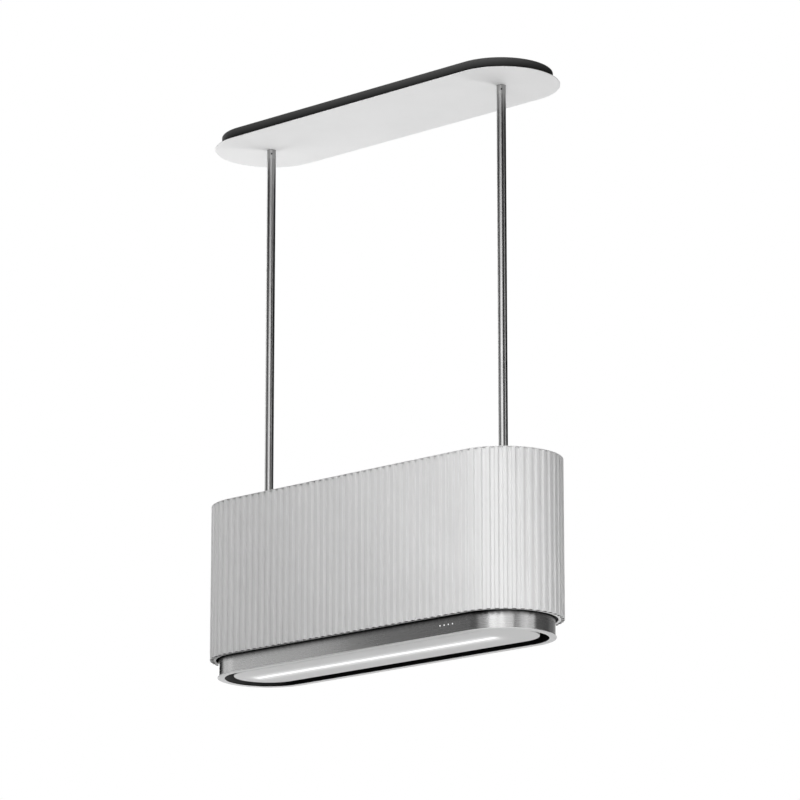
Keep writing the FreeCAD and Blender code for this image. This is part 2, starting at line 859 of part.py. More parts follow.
def blower_scroll():
    """Curved wrap of the volute with a flange round its outlet."""
    outer_face = Part.Face(scroll_wire(-blower_half))
    outer = outer_face.extrude(V(2 * blower_half, 0, 0))
    inner = outer_face.makeOffset2D(-steel).extrude(V(2 * blower_half, 0, 0))
    wrap = outer.cut(inner)
    top = blower_z + outlet_top
    mouth = box(-blower_half - 1, blower_half + 1, outlet_left + steel, outlet_right - steel,
                top - 5, top + 1)
    return wrap.cut(mouth)


def blower_ear(side):
    """Angle along the top of a side plate that hangs from the rubber buffers."""
    top = plenum_under - buffer_height
    a, b = sorted((side * blower_half, side * (blower_half + steel + 16)))
    shelf = box(a, b, -90, 12, top - 1.5, top)
    a, b = sorted((side * (blower_half + steel), side * (blower_half + steel + 1.5)))
    return join(shelf.cut(box(-blower_half, blower_half, -91, 13, top - 2, top + 1)),
                box(a, b, -90, 12, top - 14, top))


def blower_side_plates():
    """End plates of the volute, each with a round inlet and its rolled lip."""
    plates = []
    for side in (-1, 1):
        face = Part.Face(scroll_wire(side * blower_half))
        plate = face.extrude(V(side * steel, 0, 0))
        x0 = min(side * (blower_half - 1), side * (blower_half + 2))
        plate = plate.cut(bar_x_axis(inlet_radius, x0, x0 + 3, 0, blower_z))
        lip_x = min(side * (blower_half - 6), side * (blower_half + steel))
        lip = bar_x_axis(inlet_radius + steel, lip_x, lip_x + 6 + steel, 0, blower_z)
        lip = lip.cut(bar_x_axis(inlet_radius, lip_x - 1, lip_x + 9, 0, blower_z))
        plates.append(join(plate, lip, blower_ear(side)))
    return group(plates)


def impeller():
    """Two-sided drum: blades held by a middle plate and by a ring at each end."""
    disc = bar_x_axis(impeller_radius, -1, 1, 0, blower_z)
    hub = bar_x_axis(12, -10, 6, 0, blower_z)
    whole = join(disc, hub)
    for side in (-1, 1):
        x0 = min(side * impeller_half, side * (impeller_half - 3))
        ring = bar_x_axis(impeller_radius, x0, x0 + 3, 0, blower_z)
        whole = whole.fuse(ring.cut(bar_x_axis(impeller_radius - 7, x0 - 1, x0 + 4, 0, blower_z)))
    blade = box(-impeller_half, impeller_half, -0.4, 0.4, -6.5, 6.5)
    blade.rotate(V(0, 0, 0), V(1, 0, 0), 32)
    blade.translate(V(0, 0, impeller_radius - 6.6))
    for k in range(blade_count):
        one = blade.copy()
        one.rotate(V(0, 0, 0), V(1, 0, 0), 360.0 * k / blade_count)
        whole = whole.fuse(one.translated(V(0, 0, blower_z)))
    return whole.cut(bar_x_axis(shaft_radius, -11, 7, 0, blower_z)).removeSplitter()


motor_x0 = 12.0
motor_x1 = 84.0


def motor_housing():
    body = bar_x_axis(motor_radius, motor_x0, motor_x1, 0, blower_z)
    nose = bar_x_axis(16, motor_x0 - 4, motor_x1 + 6, 0, blower_z)
    body = join(body, nose)
    for x in (motor_x0 - 5, motor_x1 - 1):
        body = body.cut(bar_x_axis(11, x, x + 8, 0, blower_z))
    return body.cut(bar_x_axis(shaft_radius + 0.5, motor_x0 - 5, motor_x1 + 2, 0, blower_z))


def motor_bearings():
    rings = []
    for x in (motor_x0 - 4, motor_x1 - 1):
        ring = bar_x_axis(11, x, x + 7, 0, blower_z)
        rings.append(ring.cut(bar_x_axis(shaft_radius + 0.05, x - 1, x + 8, 0, blower_z)))
    return group(rings)


def motor_shaft():
    return bar_x_axis(shaft_radius, -10, motor_x1 + 4, 0, blower_z)


def motor_bracket():
    """Ring round the motor's tail with three arms out to the side plate."""
    x0 = motor_x1 - 16
    ring = bar_x_axis(motor_radius + 3, x0, x0 + 14, 0, blower_z)
    outer = blower_half + steel
    arms = []
    for angle in (90, 210, 330):
        arm = box(outer, outer + 3, -6, 6, 38, 74)
        step = box(x0 + 2, outer + 3, -6, 6, 38, 44)
        arm = join(arm, step)
        arm.rotate(V(0, 0, 0), V(1, 0, 0), angle)
        arms.append(arm.translated(V(0, 0, blower_z)))
    whole = join(ring, *arms)
    return whole.cut(bar_x_axis(motor_radius, x0 - 1, outer + 5, 0, blower_z))


def buffer_places():
    return [(x, y) for x in (-110, 110) for y in (-80, 0)]


def blower_buffers():
    """Rubber buffers between the blower's ears and the blower deck."""
    top = plenum_under
    parts = []
    for x, y in buffer_places():
        rubber = post(6.0, x, y, top - buffer_height, top)
        neck = post(2.95, x, y, top, plenum_level)
        head = post(4.5, x, y, plenum_level, top + 4)
        parts.append(join(rubber, neck, head))
    return group(parts)


def capacitor():
    """Round can with two tabs, held by a strap and clip under the blower deck."""
    x = -140
    z = plenum_under - 17
    can_radius = 14
    can = bar_y_axis(can_radius, x, -30, 30, z)
    terminals = []
    for side in (-5, 5):
        terminals.append(box(x + side - 0.4, x + side + 0.4, 30, 38, z - 2.5, z + 3.5))
    clip = box(x - 17, x + 17, -6, 6, plenum_under - deck_sheet, plenum_under)
    strap = bar_y_axis(can_radius + deck_sheet, x, -6, 6, z)
    strap = strap.cut(bar_y_axis(can_radius, x, -7, 7, z))
    return group([join(can, *terminals), join(clip, strap.cut(can))])


def electronics_box():
    """Tray screwed up under the blower deck, which closes its open top."""
    top = plenum_under
    outer = box(170, 310, -48, 48, top - 40, top)
    return outer.cut(box(172, 308, -46, 46, top - 38, top + 1))


def power_board():
    z0 = plenum_under - 34
    board = box(176, 304, -42, 42, z0, z0 + 1.6)
    z1 = z0 + 1.6
    blocks = [
        box(182, 214, -36, -8, z1, z1 + 24),
        box(222, 240, -36, -20, z1, z1 + 14),
        box(250, 296, 12, 36, z1, z1 + 11),
        post(8, 230, 16, z1, z1 + 20),
    ]
    feet = []
    for x in (181, 299):
        for y in (-37, 37):
            feet.append(post(2.5, x, y, z0 - 4, z0))
    return join(board, *blocks, *feet)


def led_driver():
    top = plenum_under
    case = box(-310, -190, -25, 25, top - 24, top)
    upright = [e for e in case.Edges if e.BoundBox.ZLength > 20]
    case = case.makeFillet(4, upright)
    ears = box(-320, -180, -9, 9, top - 2.5, top)
    return join(case, ears)


# ---- panel with its light -----------------------------------------------------------------
panel_sheet = 1.2


def panel_cover():
    """Lower pan: flat face, upright edge all round, light opening, bosses for the lid's screws."""
    pan = stadium(panel_length, panel_width, panel_bottom, panel_top)
    lower = [e for e in pan.Edges if e.BoundBox.ZMax < panel_bottom + 0.01]
    pan = pan.makeFillet(0.9, lower)
    hollow = stadium(panel_length - 2 * panel_sheet, panel_width - 2 * panel_sheet,
                     panel_bottom + panel_sheet, panel_top + 1)
    pan = pan.cut(hollow)
    pan = pan.cut(slot_between(light_left, light_right, 0, light_width,
                               panel_bottom - 1, panel_bottom + 2))
    for x, y in panel_screw_places():
        boss = post(4, x, y, panel_bottom + panel_sheet - 0.1, panel_top - panel_sheet)
        pan = pan.fuse(boss.cut(post(1.5, x, y, panel_top - 9, panel_top)))
    for side in (-1, 1):
        pan = pan.cut(leaf_clearance(side))
    return pan.removeSplitter()


def led_diffuser():
    lens = slot_between(light_left + 0.1, light_right - 0.1, 0, light_width - 0.2,
                        panel_bottom, panel_bottom + panel_sheet)
    flange = slot_between(light_left - 1.5, light_right + 1.5, 0, light_width + 3,
                          panel_bottom + panel_sheet, panel_bottom + panel_sheet + 1)
    return join(lens, flange)


channel_height = 9.0
channel_web = 1.4


def light_channel():
    """Aluminium channel over the diffuser that carries the board and spreads its heat."""
    z0 = panel_bottom + panel_sheet
    z1 = z0 + channel_height
    outer = box(light_left - 4, light_right + 4, -16, 16, z0, z1)
    inner = box(light_left - 2, light_right + 2, -13.6, 13.6, z0 - 1, z1 - channel_web)
    return outer.cut(inner)


def led_board():
    """Strip of board with a row of square light chips under it."""
    chip_count = 32
    chip_half = 1.8
    z1 = panel_bottom + panel_sheet + channel_height - channel_web
    board_bottom = z1 - 1.2
    strip = box(light_left + 6, light_right - 6, -6, 6, board_bottom, z1)
    first = light_left + 16
    spacing = (light_right - light_left - 32) / (chip_count - 1)
    chips = []
    for k in range(chip_count):
        x = first + k * spacing
        chips.append(box(x - chip_half, x + chip_half, -chip_half, chip_half,
                         board_bottom - 0.8, board_bottom))
    return join(strip, *chips)


def panel_back():
    """Lid of the pan, steel so that the catch magnets can hold it."""
    inset = panel_sheet + 0.1
    lid = stadium(panel_length - 2 * inset, panel_width - 2 * inset, panel_top - panel_sheet,
                  panel_top)
    for x, y in panel_screw_places():
        lid = lid.cut(post(1.5, x, y, panel_top - 2, panel_top + 1))
    for side in (-1, 1):
        lid = lid.cut(clevis_opening(side))
    return lid


def panel_screw_places():
    return [(x, side * 56.0) for x in (-240, 0, 240) for side in (-1, 1)]


def panel_screws():
    return group([screw_down(x, y, panel_top, 8, 1.45) for x, y in panel_screw_places()])


def hinge_bracket():
    """Hanging leaf fixed under the filter frame; the pin passes through its lower eye."""
    x0 = hinge_x - hinge_leaf / 2.0
    x1 = hinge_x + hinge_leaf / 2.0
    front = hinge_y - hinge_leaf_half
    back = hinge_y + hinge_leaf_half
    foot_bottom = frame_level - deck_sheet
    leaf = box(x0, x1, front, back, hinge_z, foot_bottom)
    eye = bar_x_axis(hinge_leaf_half, x0, x1, hinge_y, hinge_z)
    foot = box(hinge_x - 10, hinge_x + 10, front - 5, back + 5, foot_bottom, frame_level)
    whole = join(leaf, eye, foot)
    return whole.cut(bar_x_axis(pin_radius, x0 - 1, x1 + 1, hinge_y, hinge_z))


def hinge_brackets():
    return group(both_ends(hinge_bracket()))


cheek_thickness = 2.5
cheek_gap = 2.1                # from the middle of the leaf to the inside of a cheek
cheek_radius = 4.6
clevis_opening_front = 50.2    # front edge of the opening in the panel's lid


def hinge_arm():
    """Clevis hanging from the panel's lid: two cheeks beside the leaf, joined by a foot."""
    foot_top = panel_top + 1.2
    side = [(clevis_opening_front + 0.3, foot_top), (hinge_y + 1.5, foot_top),
            (hinge_y + cheek_radius, hinge_z), (hinge_y - cheek_radius, hinge_z)]
    parts = []
    for x0 in (hinge_x - cheek_gap - cheek_thickness, hinge_x + cheek_gap):
        x1 = x0 + cheek_thickness
        cheek = polygon_x(side, x0, x1)
        parts.append(cheek.fuse(bar_x_axis(cheek_radius, x0, x1, hinge_y, hinge_z)))
    foot = box(hinge_x - 12, hinge_x + 12, 34, clevis_opening_front + 1.3, panel_top, foot_top)
    whole = join(foot, *parts)
    return whole.cut(bar_x_axis(pin_radius + pin_play, hinge_x - 6, hinge_x + 6, hinge_y, hinge_z))


def hinge_arms():
    return group(both_ends(hinge_arm()))


def leaf_clearance(side):
    """Space that the hanging leaf sweeps through the panel's back edge as the panel drops."""
    x = side * hinge_x
    half = hinge_leaf / 2.0 + 1.0
    return box(x - half, x + half, hinge_y - hinge_leaf_half - 1, panel_width,
               panel_bottom + panel_sheet + 0.1, panel_top + 1)


def clevis_opening(side):
    x = side * hinge_x
    half = cheek_gap + cheek_thickness + 0.6
    return box(x - half, x + half, clevis_opening_front, panel_width, panel_top - 2, panel_top + 1)


def hinge_pins():
    pin = bar_x_axis(pin_radius, hinge_x - 5.6, hinge_x + 5.6, hinge_y, hinge_z)
    head = bar_x_axis(3.2, hinge_x + 5.6, hinge_x + 6.6, hinge_y, hinge_z)
    return group(both_ends(join(pin, head)))


catch_gap = 0.3                # air between the catch magnets and the shut panel


def catch_posts():
    """Angle pieces under the filter frame that hold the catch magnets over the panel."""
    x0 = 340
    x1 = 366
    y0 = -58
    y1 = -32
    z0 = panel_top + catch_gap + magnet_height
    foot = box(x0, x1, y0, y1, frame_level - steel, frame_level)
    leg = box(x0, x0 + steel, y0, y1, z0, frame_level)
    shelf = box(x0, x1, y0, y1, z0, z0 + steel)
    return group(both_ends(join(foot, leg, shelf)))


def magnets():
    """Identical discs: six hold the ceiling cover, and three above each end catch the panel."""
    discs = []
    flange_top = cover_inside + deck_sheet
    for x in (-300, 0, 300):
        for y in (-housing_width / 2.0 + 6.0, housing_width / 2.0 - 6.0):
            discs.append(post(magnet_radius, x, y, flange_top, flange_top + magnet_height))
    catch_bottom = panel_top + catch_gap
    for y in (-53, -45, -37):
        disc = post(magnet_radius, 353, y, catch_bottom, catch_bottom + magnet_height)
        discs.extend(both_ends(disc))
    return group(discs)


# ---- export -------------------------------------------------------------------------------
nodes = [
    ceiling_bracket, ceiling_housing, terminal_box, terminal_box_lid, supply_gland,
    ceiling_cover, cover_bushings, magnets,
    rod_sockets, m4_screws, grub_screws, rod_left, rod_right, rod_studs, rod_nuts, rod_grommets,
    top_deck, chassis_shell, plenum_deck, top_cover, outlet_grilles, carbon_filters, carbon_pads,
    fluted_shroud, shroud_top_frame, shroud_bottom_frame, shroud_brackets,
    steel_band, touch_light_guides, touch_board, rim, suction_liner,
    filter_frame, filter_left_frame, filter_right_frame, filter_meshes,
    filter_latch_left, filter_latch_right,
    blower_scroll, blower_side_plates, impeller, motor_housing, motor_bearings, motor_shaft,
    motor_bracket, blower_buffers, capacitor, electronics_box, power_board, led_driver,
    panel_cover, led_diffuser, light_channel, led_board, panel_back, panel_screws,
    hinge_brackets, hinge_arms, hinge_pins, catch_posts,
]

os.makedirs("parts", exist_ok=True)
for make in nodes:
    shape = make()
    if not shape.isValid():
        print("not valid:", make.__name__)
    shape.exportStep("parts/%s.step" % make.__name__)
print(len(nodes), "nodes")
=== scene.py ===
import json
import math

import bmesh
import bpy
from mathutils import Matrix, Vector


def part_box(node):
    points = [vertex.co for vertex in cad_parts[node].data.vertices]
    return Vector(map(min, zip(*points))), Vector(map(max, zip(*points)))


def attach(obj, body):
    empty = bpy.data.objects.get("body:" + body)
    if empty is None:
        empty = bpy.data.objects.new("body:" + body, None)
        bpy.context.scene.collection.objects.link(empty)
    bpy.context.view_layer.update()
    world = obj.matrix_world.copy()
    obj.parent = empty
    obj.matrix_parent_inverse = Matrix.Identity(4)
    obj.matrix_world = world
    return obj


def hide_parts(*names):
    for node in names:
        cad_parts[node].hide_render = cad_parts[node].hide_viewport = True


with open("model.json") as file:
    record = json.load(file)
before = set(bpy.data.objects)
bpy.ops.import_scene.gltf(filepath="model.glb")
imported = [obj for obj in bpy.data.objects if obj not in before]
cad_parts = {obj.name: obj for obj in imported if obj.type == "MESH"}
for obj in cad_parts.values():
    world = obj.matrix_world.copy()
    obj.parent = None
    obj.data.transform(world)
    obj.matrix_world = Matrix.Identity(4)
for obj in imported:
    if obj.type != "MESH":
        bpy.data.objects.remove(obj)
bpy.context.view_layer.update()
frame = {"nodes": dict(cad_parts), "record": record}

MM = 0.001

# ---- values that the visual pieces share with the CAD model; lengths in metres --------------
FLUTE_COUNT = 118
FLUTE_DEPTH = 6.0 * MM
FLUTE_FLAT = 7.0 * MM
FLUTE_START = -0.25
FLUTE_ROUND = 1.1 * MM
SHEET = 1.0 * MM
ARC_STEPS = 64                 # points along each half circle of an outline

SOCKET_HOLE = 10.0 * MM        # radius of the ceiling plate's holes
SLOT_LENGTH = 837.2 * MM       # outer length of the suction slot
BAND_INNER_LENGTH = 861.6 * MM
FRAME_SHEET = 1.5 * MM         # the two rings inside the flutes
FRAME_INSET = 7.15 * MM
FRAME_LEG = 20.0 * MM
LIP_WIDTH = 6.0 * MM
LEDGE_WIDTH = 9.0 * MM

# ---- looks ----------------------------------------------------------------------------------
# painted shade: grey on the flutes' inner faces, and behind the flutes on the frames
INSIDE_SHADE_TONE = 0.24
# painted shadow: black on the frames' inner faces along the front
GAP_SHADOW_TONE = 0.003
SHADOW_REACH = 13.0 * MM       # dark line on the band below the flutes
SHADOW_CURVE = 1.6
SHADOW_TONE = 0.03
LIGHT_SPREAD = 8.0 * MM        # bright core of the light strip, and its ends
LIGHT_END = 14.0 * MM
LIGHT_END_SPREAD = 18.0 * MM
LIGHT_STRENGTH = 0.88
LIGHT_EDGE = 0.06
GLOW_REACH = 7.0 * MM          # spill of the strip on the panel
GLOW_STRENGTH = 0.28
DOT_FIRST = 247.7 * MM         # touch lights: four dots, then the faint bar and arc
DOT_PITCH = 11.1 * MM
DOT_SPREAD = 1.2 * MM
DOT_STRENGTH = 1.8
FAINT_FROM = 292.0 * MM
ICON_STRENGTH = 0.03
EULER = 2.718                  # base of the fades

# ---- camera ---------------------------------------------------------------------------------
LENS = 190.1                   # millimetres
SENSOR = 36.0                  # millimetres
CAMERA_AZIMUTH = 42.09
CAMERA_ELEVATION = -14.32
CAMERA_DISTANCE = 8.810
CAMERA_REACH = 200.0
AIM_HEIGHT = -0.6558
AIM_RIGHT = 0.0348
AIM_UP = 0.0140

# ---- stage and lights -----------------------------------------------------------------------
FLOOR_LEVEL = -12.0            # far enough down for views from below
FLOOR_RADIUS = 29.0
CARD_LEVEL = -3.2              # card that bounces light up
CARD_RADIUS = 13.5
BACKDROP_RADIUS = 30.0
STAGE_TONE = 0.78
CAMERA_ONLY = ("visible_diffuse", "visible_glossy", "visible_transmission",
               "visible_volume_scatter", "visible_shadow")
LAMP_AIM = (0, 0, -0.9)
CLOSE = 0.9                    # radii of the light walls and widths of their panels
CLOSE_PANEL = 0.34
NEAR = 1.4
NEAR_PANEL = 0.5
FAR = 2.2
FAR_PANEL = 0.78
WALL_LOW = -1.7
WALL_MIDDLE = -0.75
WALL_HIGH = 0.2
WORLD_STRENGTH = 0.005


# ---- node helpers ---------------------------------------------------------------------------
class Nodes:
    """Small wrapper that adds and links shader nodes."""

    def __init__(self, name):
        self.material = bpy.data.materials.new(name)
        self.material.use_nodes = True
        self.tree = self.material.node_tree
        self.shader = self.tree.nodes["Principled BSDF"]
        self.coordinates = self.tree.nodes.new("ShaderNodeTexCoord")

    def add(self, kind, inputs=None, **settings):
        node = self.tree.nodes.new(kind)
        for key, value in settings.items():
            setattr(node, key, value)
        for key, value in (inputs or {}).items():
            self.plug(node.inputs[key], value)
        return node

    def plug(self, socket, value):
        if isinstance(value, bpy.types.NodeSocket):
            self.tree.links.new(value, socket)
        else:
            socket.default_value = value

    def stretched(self, x, y, z):
        """Object coordinates scaled by a factor along each axis."""
        mapping = self.add("ShaderNodeMapping", {"Vector": self.coordinates.outputs["Object"]})
        mapping.inputs["Scale"].default_value = (x, y, z)
        return mapping.outputs["Vector"]

    def position(self, axis):
        """One object coordinate, X, Y or Z."""
        return self.part_of("Object", axis)

    def facing(self, axis):
        """One part of the direction that the surface faces."""
        return self.part_of("Normal", axis)

    def part_of(self, output, axis):
        parts = self.add("ShaderNodeSeparateXYZ", {"Vector": self.coordinates.outputs[output]})
        return parts.outputs[axis]

    def fade(self, value):
        """1 where the value is 0, and falling off exponentially above it."""
        return self.math("POWER", EULER, self.math("MULTIPLY", value, -1.0))

    def noise(self, vector, scale, detail=4.0, roughness=0.55):
        node = self.add("ShaderNodeTexNoise", {
            "Vector": vector, "Scale": scale, "Detail": detail, "Roughness": roughness})
        return node.outputs["Fac"]

    def spread(self, value, low, high, from_low=0.3, from_high=0.7):
        node = self.add("ShaderNodeMapRange", {
            "Value": value, "From Min": from_low, "From Max": from_high,
            "To Min": low, "To Max": high})
        return node.outputs["Result"]

    def mix(self, factor, first, second, blend="MIX"):
        node = self.add("ShaderNodeMix", data_type="RGBA", blend_type=blend)
        self.plug(node.inputs["Factor"], factor)
        self.plug(node.inputs[6], first)
        self.plug(node.inputs[7], second)
        return node.outputs[2]

    def math(self, operation, first, second=0.0, clamp=False):
        node = self.add("ShaderNodeMath", operation=operation, use_clamp=clamp)
        self.plug(node.inputs[0], first)
        self.plug(node.inputs[1], second)
        return node.outputs[0]

    def bump(self, height, strength, distance, below=None):
        inputs = {"Height": height, "Strength": strength, "Distance": distance}
        node = self.add("ShaderNodeBump", inputs)
        if below is not None:
            self.plug(node.inputs["Normal"], below)
        return node.outputs["Normal"]

    def edges(self, low=0.52, high=0.62):
        """Near 1 on outward edges, from the mesh's own curvature."""
        geometry = self.add("ShaderNodeNewGeometry")
        return self.spread(geometry.outputs["Pointiness"], 0.0, 1.0, low, high)

    def set(self, **sockets):
        for name, value in sockets.items():
            self.plug(self.shader.inputs[name.replace("_", " ")], value)
        return self.material


def grey(value, warmth=0.0):
    """Neutral colour, or one a little warmer or cooler."""
    return (value * (1.0 + warmth), value, value * (1.0 - warmth), 1.0)


# ---- materials ------------------------------------------------------------------------------
def powder_coat(name, tone, roughness, specular=0.25, shade=None):
    """Sprayed powder: fine orange peel, faint cloudiness, paint a little thin on the edges.

    shade is a function that may change the colour of some faces.
    """
    n = Nodes(name)
    plain = n.stretched(1, 1, 1)
    clouds = n.noise(plain, 7.0, 3.0)
    specks = n.noise(plain, 900.0, 2.0)
    colour = n.mix(n.spread(clouds, 0.0, 1.0), grey(tone * 0.975), grey(tone * 1.02))
    colour = n.mix(n.spread(specks, 0.0, 0.05), colour, grey(tone * 0.8))
    colour = n.mix(n.math("MULTIPLY", n.edges(), 0.10), colour, grey(min(1.0, tone * 1.12 + 0.03)))
    if shade is not None:
        colour = shade(n, colour)
    normal = n.bump(n.noise(plain, 420.0, 2.0), 0.05, 0.0001)
    rough = n.spread(n.noise(plain, 35.0, 4.0), roughness - 0.04, roughness + 0.05)
    return n.set(Base_Color=colour, Roughness=rough, Normal=normal, Specular_IOR_Level=specular)


def looks_inward(n, length, width):
    """1 on faces turned towards the middle of a stadium outline, 0 on the others."""
    half = (length - width) / 2
    inside = n.math("MAXIMUM", n.math("MINIMUM", n.position("X"), half), -half)
    outward = n.add("ShaderNodeCombineXYZ", {
        "X": n.math("SUBTRACT", n.position("X"), inside), "Y": n.position("Y")})
    turned_out = n.add("ShaderNodeVectorMath", operation="DOT_PRODUCT")
    n.plug(turned_out.inputs[0], outward.outputs["Vector"])
    n.plug(turned_out.inputs[1], n.coordinates.outputs["Normal"])
    return n.math("LESS_THAN", turned_out.outputs["Value"], -0.1 * width / 2)


def dark_inside(n, colour):
    """Painted shade: the fluted sheet is grey on its inner face, for the shade in its hollows."""
    length, width = size_of("fluted_shroud")[:2]
    return n.mix(looks_inward(n, length, width), colour, grey(INSIDE_SHADE_TONE))


def dark_frame(n, colour):
    """White lips; grey painted shade behind the flutes, and inside a painted shadow, black along
    the front, with white at the back.
    """
    length, width, z0, z1 = size_of("fluted_shroud")
    upright = n.math("GREATER_THAN", n.facing("Z"), -0.5)
    hidden = n.math("MULTIPLY", upright, n.math("LESS_THAN", n.position("Z"), z1 - 0.5 * MM))
    forward = n.spread(n.facing("Y"), 1.0, 0.0, -0.3, 0.3)
    # painted shadow: black on the inner faces along the front, white ones at the back
    front_shadow = n.mix(forward, grey(GAP_SHADOW_TONE), colour)
    inner = n.mix(looks_inward(n, length, width), grey(INSIDE_SHADE_TONE), front_shadow)
    return n.mix(hidden, colour, inner)


def slot_shade(n, colour):
    """Black wall of the slot, with painted light: grey where it faces right, as at its left end."""
    return n.mix(n.spread(n.facing("X"), 0.0, 1.0, 0.2, 0.9), colour, grey(0.10))


def dark_slot_edge(n, colour):
    """Makes the rim's cut edge round the slot black, like the slot's wall."""
    length, width = size_of("rim")[:2]
    return n.mix(looks_inward(n, length, width), colour, grey(0.01))


def under_shroud(n, colour):
    """A painted shadow line that darkens the steel just below the fluted skin."""
    foot = size_of("fluted_shroud")[2]
    shadow = n.spread(n.position("Z"), 0.0, 1.0, foot - SHADOW_REACH, foot)
    return n.mix(n.math("POWER", shadow, SHADOW_CURVE), colour, grey(SHADOW_TONE))


def ring_shade(n, colour):
    """Black ring under the ceiling, with painted light and shade: lighter towards its top and deep
    black at its foot.
    """
    z0, z1 = size_of("ceiling_housing")[2:]
    height = n.spread(n.position("Z"), 0.0, 1.0, z0 + 3 * MM, z1)
    return n.mix(height, grey(0.004), colour)


def lamp_glow(n, colour):
    """Glow painted on the panel's face close to the frosted strip, for the light it spills."""
    low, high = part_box("led_diffuser")
    half = (high.y - low.y) / 2
    reach = (high.x - low.x) / 2 - half
    along = n.math("ABSOLUTE", n.math("SUBTRACT", n.position("X"), (low.x + high.x) / 2))
    along = n.math("MAXIMUM", n.math("SUBTRACT", along, reach), 0.0)
    away = n.math("ADD", n.math("POWER", along, 2.0), n.math("POWER", n.position("Y"), 2.0))
    past = n.math("DIVIDE", n.math("SUBTRACT", n.math("SQRT", away), half), GLOW_REACH)
    glow = n.fade(past)
    under = n.math("LESS_THAN", n.position("Z"), low.z + 1.0 * MM)
    strength = n.math("MULTIPLY", n.math("MULTIPLY", glow, under), GLOW_STRENGTH)
    n.set(Emission_Color=grey(1.0), Emission_Strength=strength)
    return colour


def brushed_steel(name, scale, tone, roughness, depth=0.00006, across=0.45, grain=1.0, shade=None):
    """Stainless steel with fine scratches; scale stretches the scratches along two axes.

    across is how much wider reflections are spread across the scratches than along them, grain
    how strongly the scratches show, and shade a function that may change the colour of some faces.
    """
    n = Nodes(name)
    fine = n.noise(n.stretched(*scale), 1.0, 3.0, 0.7)
    coarse = n.noise(n.stretched(*[s * 0.23 for s in scale]), 1.0, 4.0, 0.6)
    smudge = n.noise(n.stretched(1, 1, 1), 9.0, 3.0)
    streaks = n.math("MULTIPLY_ADD", fine, 0.6)
    n.plug(streaks.node.inputs[2], n.math("MULTIPLY", coarse, 0.4))
    colour = n.mix(n.spread(streaks, 0.0, 1.0), grey(tone * (1 - 0.10 * grain)),
                   grey(tone * (1 + 0.08 * grain), 0.004))
    colour = n.mix(n.spread(smudge, 0.0, 0.18), colour, grey(tone * 0.86, 0.012))
    colour = n.mix(n.math("MULTIPLY", n.edges(), 0.35), colour, grey(min(0.9, tone * 1.25)))
    if shade is not None:
        colour = shade(n, colour)
    rough = n.math("ADD", n.spread(streaks, roughness - 0.06 * grain, roughness + 0.07 * grain),
                   n.spread(smudge, 0.0, 0.06))
    normal = n.bump(streaks, 0.35, depth)
    tangent = n.add("ShaderNodeTangent", direction_type="RADIAL", axis="Z")
    return n.set(Base_Color=colour, Metallic=1.0, Roughness=rough, Normal=normal,
                 Anisotropic=across, Anisotropic_Rotation=0.25,
                 Tangent=tangent.outputs["Tangent"])


def galvanised(name):
    """Zinc-coated sheet with its spangle of crystals."""
    n = Nodes(name)
    plain = n.stretched(1, 1, 1)
    crystals = n.add("ShaderNodeTexVoronoi", {"Vector": plain, "Scale": 150.0})
    tone = n.add("ShaderNodeSeparateColor", {"Color": crystals.outputs["Color"]}).outputs["Red"]
    grain = n.noise(plain, 260.0, 3.0)
    colour = n.mix(tone, grey(0.42, -0.01), grey(0.56, -0.01))
    colour = n.mix(n.spread(grain, 0.0, 0.25), colour, grey(0.36))
    rough = n.math("ADD", n.math("MULTIPLY", tone, 0.16), n.spread(grain, 0.30, 0.40))
    return n.set(Base_Color=colour, Metallic=0.9, Roughness=rough,
                 Normal=n.bump(grain, 0.12, 0.0002))


def bright_zinc(name):
    """Plated screws, studs and pins."""
    n = Nodes(name)
    plain = n.stretched(1, 1, 1)
    tarnish = n.noise(plain, 120.0, 4.0)
    turned = n.noise(n.stretched(1, 1, 40), 60.0, 2.0)
    colour = n.mix(n.spread(tarnish, 0.0, 1.0), grey(0.50, 0.01), grey(0.68, -0.01))
    rough = n.spread(tarnish, 0.22, 0.38)
    return n.set(Base_Color=colour, Metallic=1.0, Roughness=rough,
                 Normal=n.bump(turned, 0.15, 0.0001))


def mill_aluminium(name, tone=0.72):
    """Rolled aluminium with faint roll lines."""
    n = Nodes(name)
    lines = n.noise(n.stretched(4, 420, 420), 1.0, 3.0)
    smudge = n.noise(n.stretched(1, 1, 1), 18.0, 4.0)
    colour = n.mix(n.spread(lines, 0.0, 1.0), grey(tone * 0.93, -0.005), grey(tone * 1.05, -0.005))
    colour = n.mix(n.spread(smudge, 0.0, 0.2), colour, grey(tone * 0.8))
    return n.set(Base_Color=colour, Metallic=1.0, Roughness=n.spread(smudge, 0.30, 0.46),
                 Normal=n.bump(lines, 0.18, 0.00008))


def moulded_plastic(name, tone, roughness):
    """Spark-eroded plastic surface with a fine grain."""
    n = Nodes(name)
    plain = n.stretched(1, 1, 1)
    grain = n.noise(plain, 700.0, 2.0)
    flow = n.noise(plain, 22.0, 3.0)
    colour = n.mix(n.spread(flow, 0.0, 1.0), grey(tone * 0.9), grey(tone * 1.1))
    colour = n.mix(n.math("MULTIPLY", n.edges(), 0.2), colour, grey(tone * 1.5 + 0.02))
    return n.set(Base_Color=colour, Roughness=n.spread(grain, roughness - 0.05, roughness + 0.08),
                 Normal=n.bump(grain, 0.2, 0.0002), Specular_IOR_Level=0.4)


def soft_rubber(name):
    """Matt black rubber with a faint bloom."""
    n = Nodes(name)
    plain = n.stretched(1, 1, 1)
    bloom = n.noise(plain, 40.0, 4.0)
    grain = n.noise(plain, 1200.0, 2.0)
    colour = n.mix(n.spread(bloom, 0.0, 1.0), grey(0.022), grey(0.045))
    return n.set(Base_Color=colour, Roughness=n.spread(bloom, 0.62, 0.82),
                 Normal=n.bump(grain, 0.3, 0.0002), Specular_IOR_Level=0.3)


